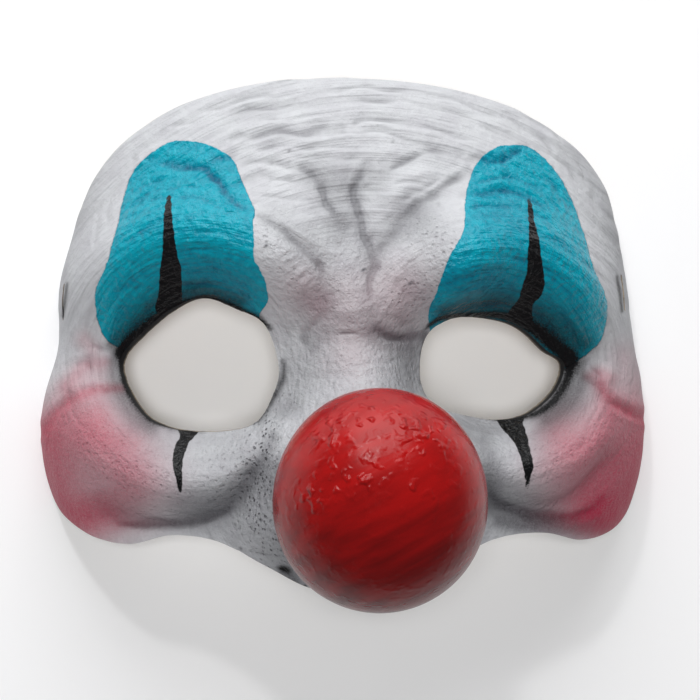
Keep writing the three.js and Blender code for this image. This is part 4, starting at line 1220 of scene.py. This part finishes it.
class MASK_OT_nose_ball(bpy.types.Operator):
    """Makes the hollow red ball with its standing paint"""

    bl_idname = "mask.nose_ball"
    bl_label = "Nose ball"

    def execute(self, context):
        scene = context.scene
        ball = scene.mask_ball
        face = Face(scene.mask_face, ball)
        middle = face.origin + face.ball_place
        columns, rows = ball.columns, ball.rows
        radius = ball.width / 2
        mouth = math.asin(ball.mouth / 2 / radius)
        # one row per angle from the mouth to the tip, one column per turn about the ball's axis
        angle, turn = np.meshgrid(
            np.linspace(mouth, math.pi, rows + 1), np.linspace(0, math.tau, columns + 1)[:-1], indexing="ij"
        )
        way = [np.sin(angle) * np.cos(turn), np.sin(angle) * np.sin(turn), -np.cos(angle)]
        waves = [np.sin(wave * part + start) for part, (wave, start) in zip(way, SWELL_WAVES)]
        swell = SWELL * np.prod(waves, axis=0)
        way = np.stack(way, axis=-1) * face.ball_squash
        outer = (middle + way * (radius + swell)[..., None]).reshape(-1, 3)
        inner = (middle + way * (radius - ball.wall)).reshape(-1, 3)
        grid = np.arange((rows + 1) * columns).reshape(rows + 1, columns)
        beside = np.roll(grid, -1, axis=1)
        a, b, c, d = grid[:-1].ravel(), beside[:-1].ravel(), beside[1:].ravel(), grid[1:].ravel()
        # the last row lies in one point at the tip
        keep = np.repeat(np.arange(rows) < rows - 1, columns)
        tip = grid[-1, 0]
        triangles = np.concatenate([
            np.stack([a, b, c], axis=1)[keep], np.stack([a, c, d], axis=1)[keep],
            np.stack([a[~keep], b[~keep], np.full((~keep).sum(), tip)], axis=1),
        ])
        used, triangles = np.unique(triangles, return_inverse=True)
        outer, inner, triangles = outer[used], inner[used], triangles.reshape(-1, 3)
        across, down = picture(outer).T
        blobs = BLOB_GROUND + sum(
            strength * np.exp(-(np.hypot(across - x, down - y) / spread) ** 2)
            for x, y, spread, strength in BLOBS
        )
        x, y, z = ((outer - middle) / radius).T
        held = (x * HELD_TOWARDS[0] + y * HELD_TOWARDS[1]) / np.maximum(np.hypot(x, y), 1e-6)
        values = {
            "blobs": np.clip(blobs, 0, 1),
            "bare": BARE_TOP - BARE_FALL * (1 - held) - z * radius / MM,
            # painted shade: the red goes darker towards the ball's underside
            "under": np.clip(UNDERSIDE_SHADE_MIDDLE - UNDERSIDE_SHADE_RISE * y, 0, 1) * UNDERSIDE_SHADE_MOST,
        }
        paint = scene.mask_paint
        materials = [glossy_red(paint), raw_latex(paint), cut_latex(paint)]
        points, faces, kinds = solid_sheet(outer, inner, triangles)
        piece = make_piece("red_ball", points, faces, kinds, materials, values)
        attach(piece, "root")
        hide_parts("nose_ball")
        return {"FINISHED"}


class MASK_OT_stage(bpy.types.Operator):
    """Lays the floor and sets the lights and the camera"""

    bl_idname = "mask.stage"
    bl_label = "Stage"

    def execute(self, context):
        scene = context.scene
        stage = scene.mask_stage
        place, right, up, back = camera_axes()

        floor_mesh = bpy.data.meshes.new("studio_floor")
        corners = [(x * FLOOR_REACH, y * FLOOR_REACH, 0) for x, y in ((-1, -1), (1, -1), (1, 1), (-1, 1))]
        floor_mesh.from_pydata(corners, [], [(0, 1, 2, 3)])
        floor_mesh.materials.append(backdrop_paper(stage.floor_tint))
        floor = bpy.data.objects.new("studio_floor", floor_mesh)
        scene.collection.objects.link(floor)

        # place and side in metres, power, and whether glossy paint mirrors the light
        for name, spot, size, watts, glossy in (
            ("forehead_softbox", (-0.04, 1.05, 0.45), 1.0, stage.key_power, True),
            ("overhead_softbox", tuple(OVERHEAD * back), 0.35, stage.top_power, False),
            ("glint_lamp", (-0.3, 0.75, 0.8), 0.08, stage.lamp_power, True),
        ):
            light = bpy.data.lights.new(name, "AREA")
            light.size = size
            light.energy = watts
            lamp = bpy.data.objects.new(name, light)
            lamp.location = spot
            lamp.rotation_mode = "QUATERNION"
            lamp.rotation_quaternion = (LIGHT_AIM - Vector(spot)).to_track_quat("-Z", "Y")
            lamp.visible_glossy = glossy
            scene.collection.objects.link(lamp)

        world = bpy.data.worlds.new("soft_room")
        world.use_nodes = True
        sky = world.node_tree.nodes["Background"]
        sky.inputs["Color"].default_value = (1, 1, 1, 1)
        sky.inputs["Strength"].default_value = stage.sky
        scene.world = world

        camera = bpy.data.objects.new("camera", bpy.data.cameras.new("camera"))
        camera.data.lens = SENSOR_MM * stage.distance / (PICTURE * stage.point)
        turned = Matrix((right, up, back)).transposed().to_4x4()
        camera.matrix_world = Matrix.Translation(place) @ turned
        scene.collection.objects.link(camera)
        scene.camera = camera
        scene.view_settings.view_transform = "Standard"
        return {"FINISHED"}


class MASK_PT_panel(bpy.types.Panel):
    """Lists the steps that build the mask"""

    bl_label = "Clown mask"
    bl_space_type = "VIEW_3D"
    bl_region_type = "UI"
    bl_category = "Mask"

    def draw(self, context):
        for step in STEPS:
            self.layout.operator(step.bl_idname)


GROUPS = {
    "mask_face": MASK_PG_face,
    "mask_ball": MASK_PG_ball,
    "mask_paint": MASK_PG_paint,
    "mask_stage": MASK_PG_stage,
}
STEPS = (MASK_OT_stage, MASK_OT_face_shell, MASK_OT_nose_ball)


def register():
    """Puts the settings, the steps and the panel in place."""
    for kind in (*GROUPS.values(), *STEPS, MASK_PT_panel):
        bpy.utils.register_class(kind)
    for name, group in GROUPS.items():
        setattr(bpy.types.Scene, name, PointerProperty(type=group))


def unregister():
    """Takes the settings, the steps and the panel out again."""
    for name in GROUPS:
        delattr(bpy.types.Scene, name)
    for kind in (MASK_PT_panel, *reversed(STEPS), *GROUPS.values()):
        bpy.utils.unregister_class(kind)


def main():
    """Builds the whole scene."""
    register()
    bpy.ops.mask.stage()
    bpy.ops.mask.face_shell()
    bpy.ops.mask.nose_ball()
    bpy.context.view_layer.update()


if __name__ == "__main__":
    main()
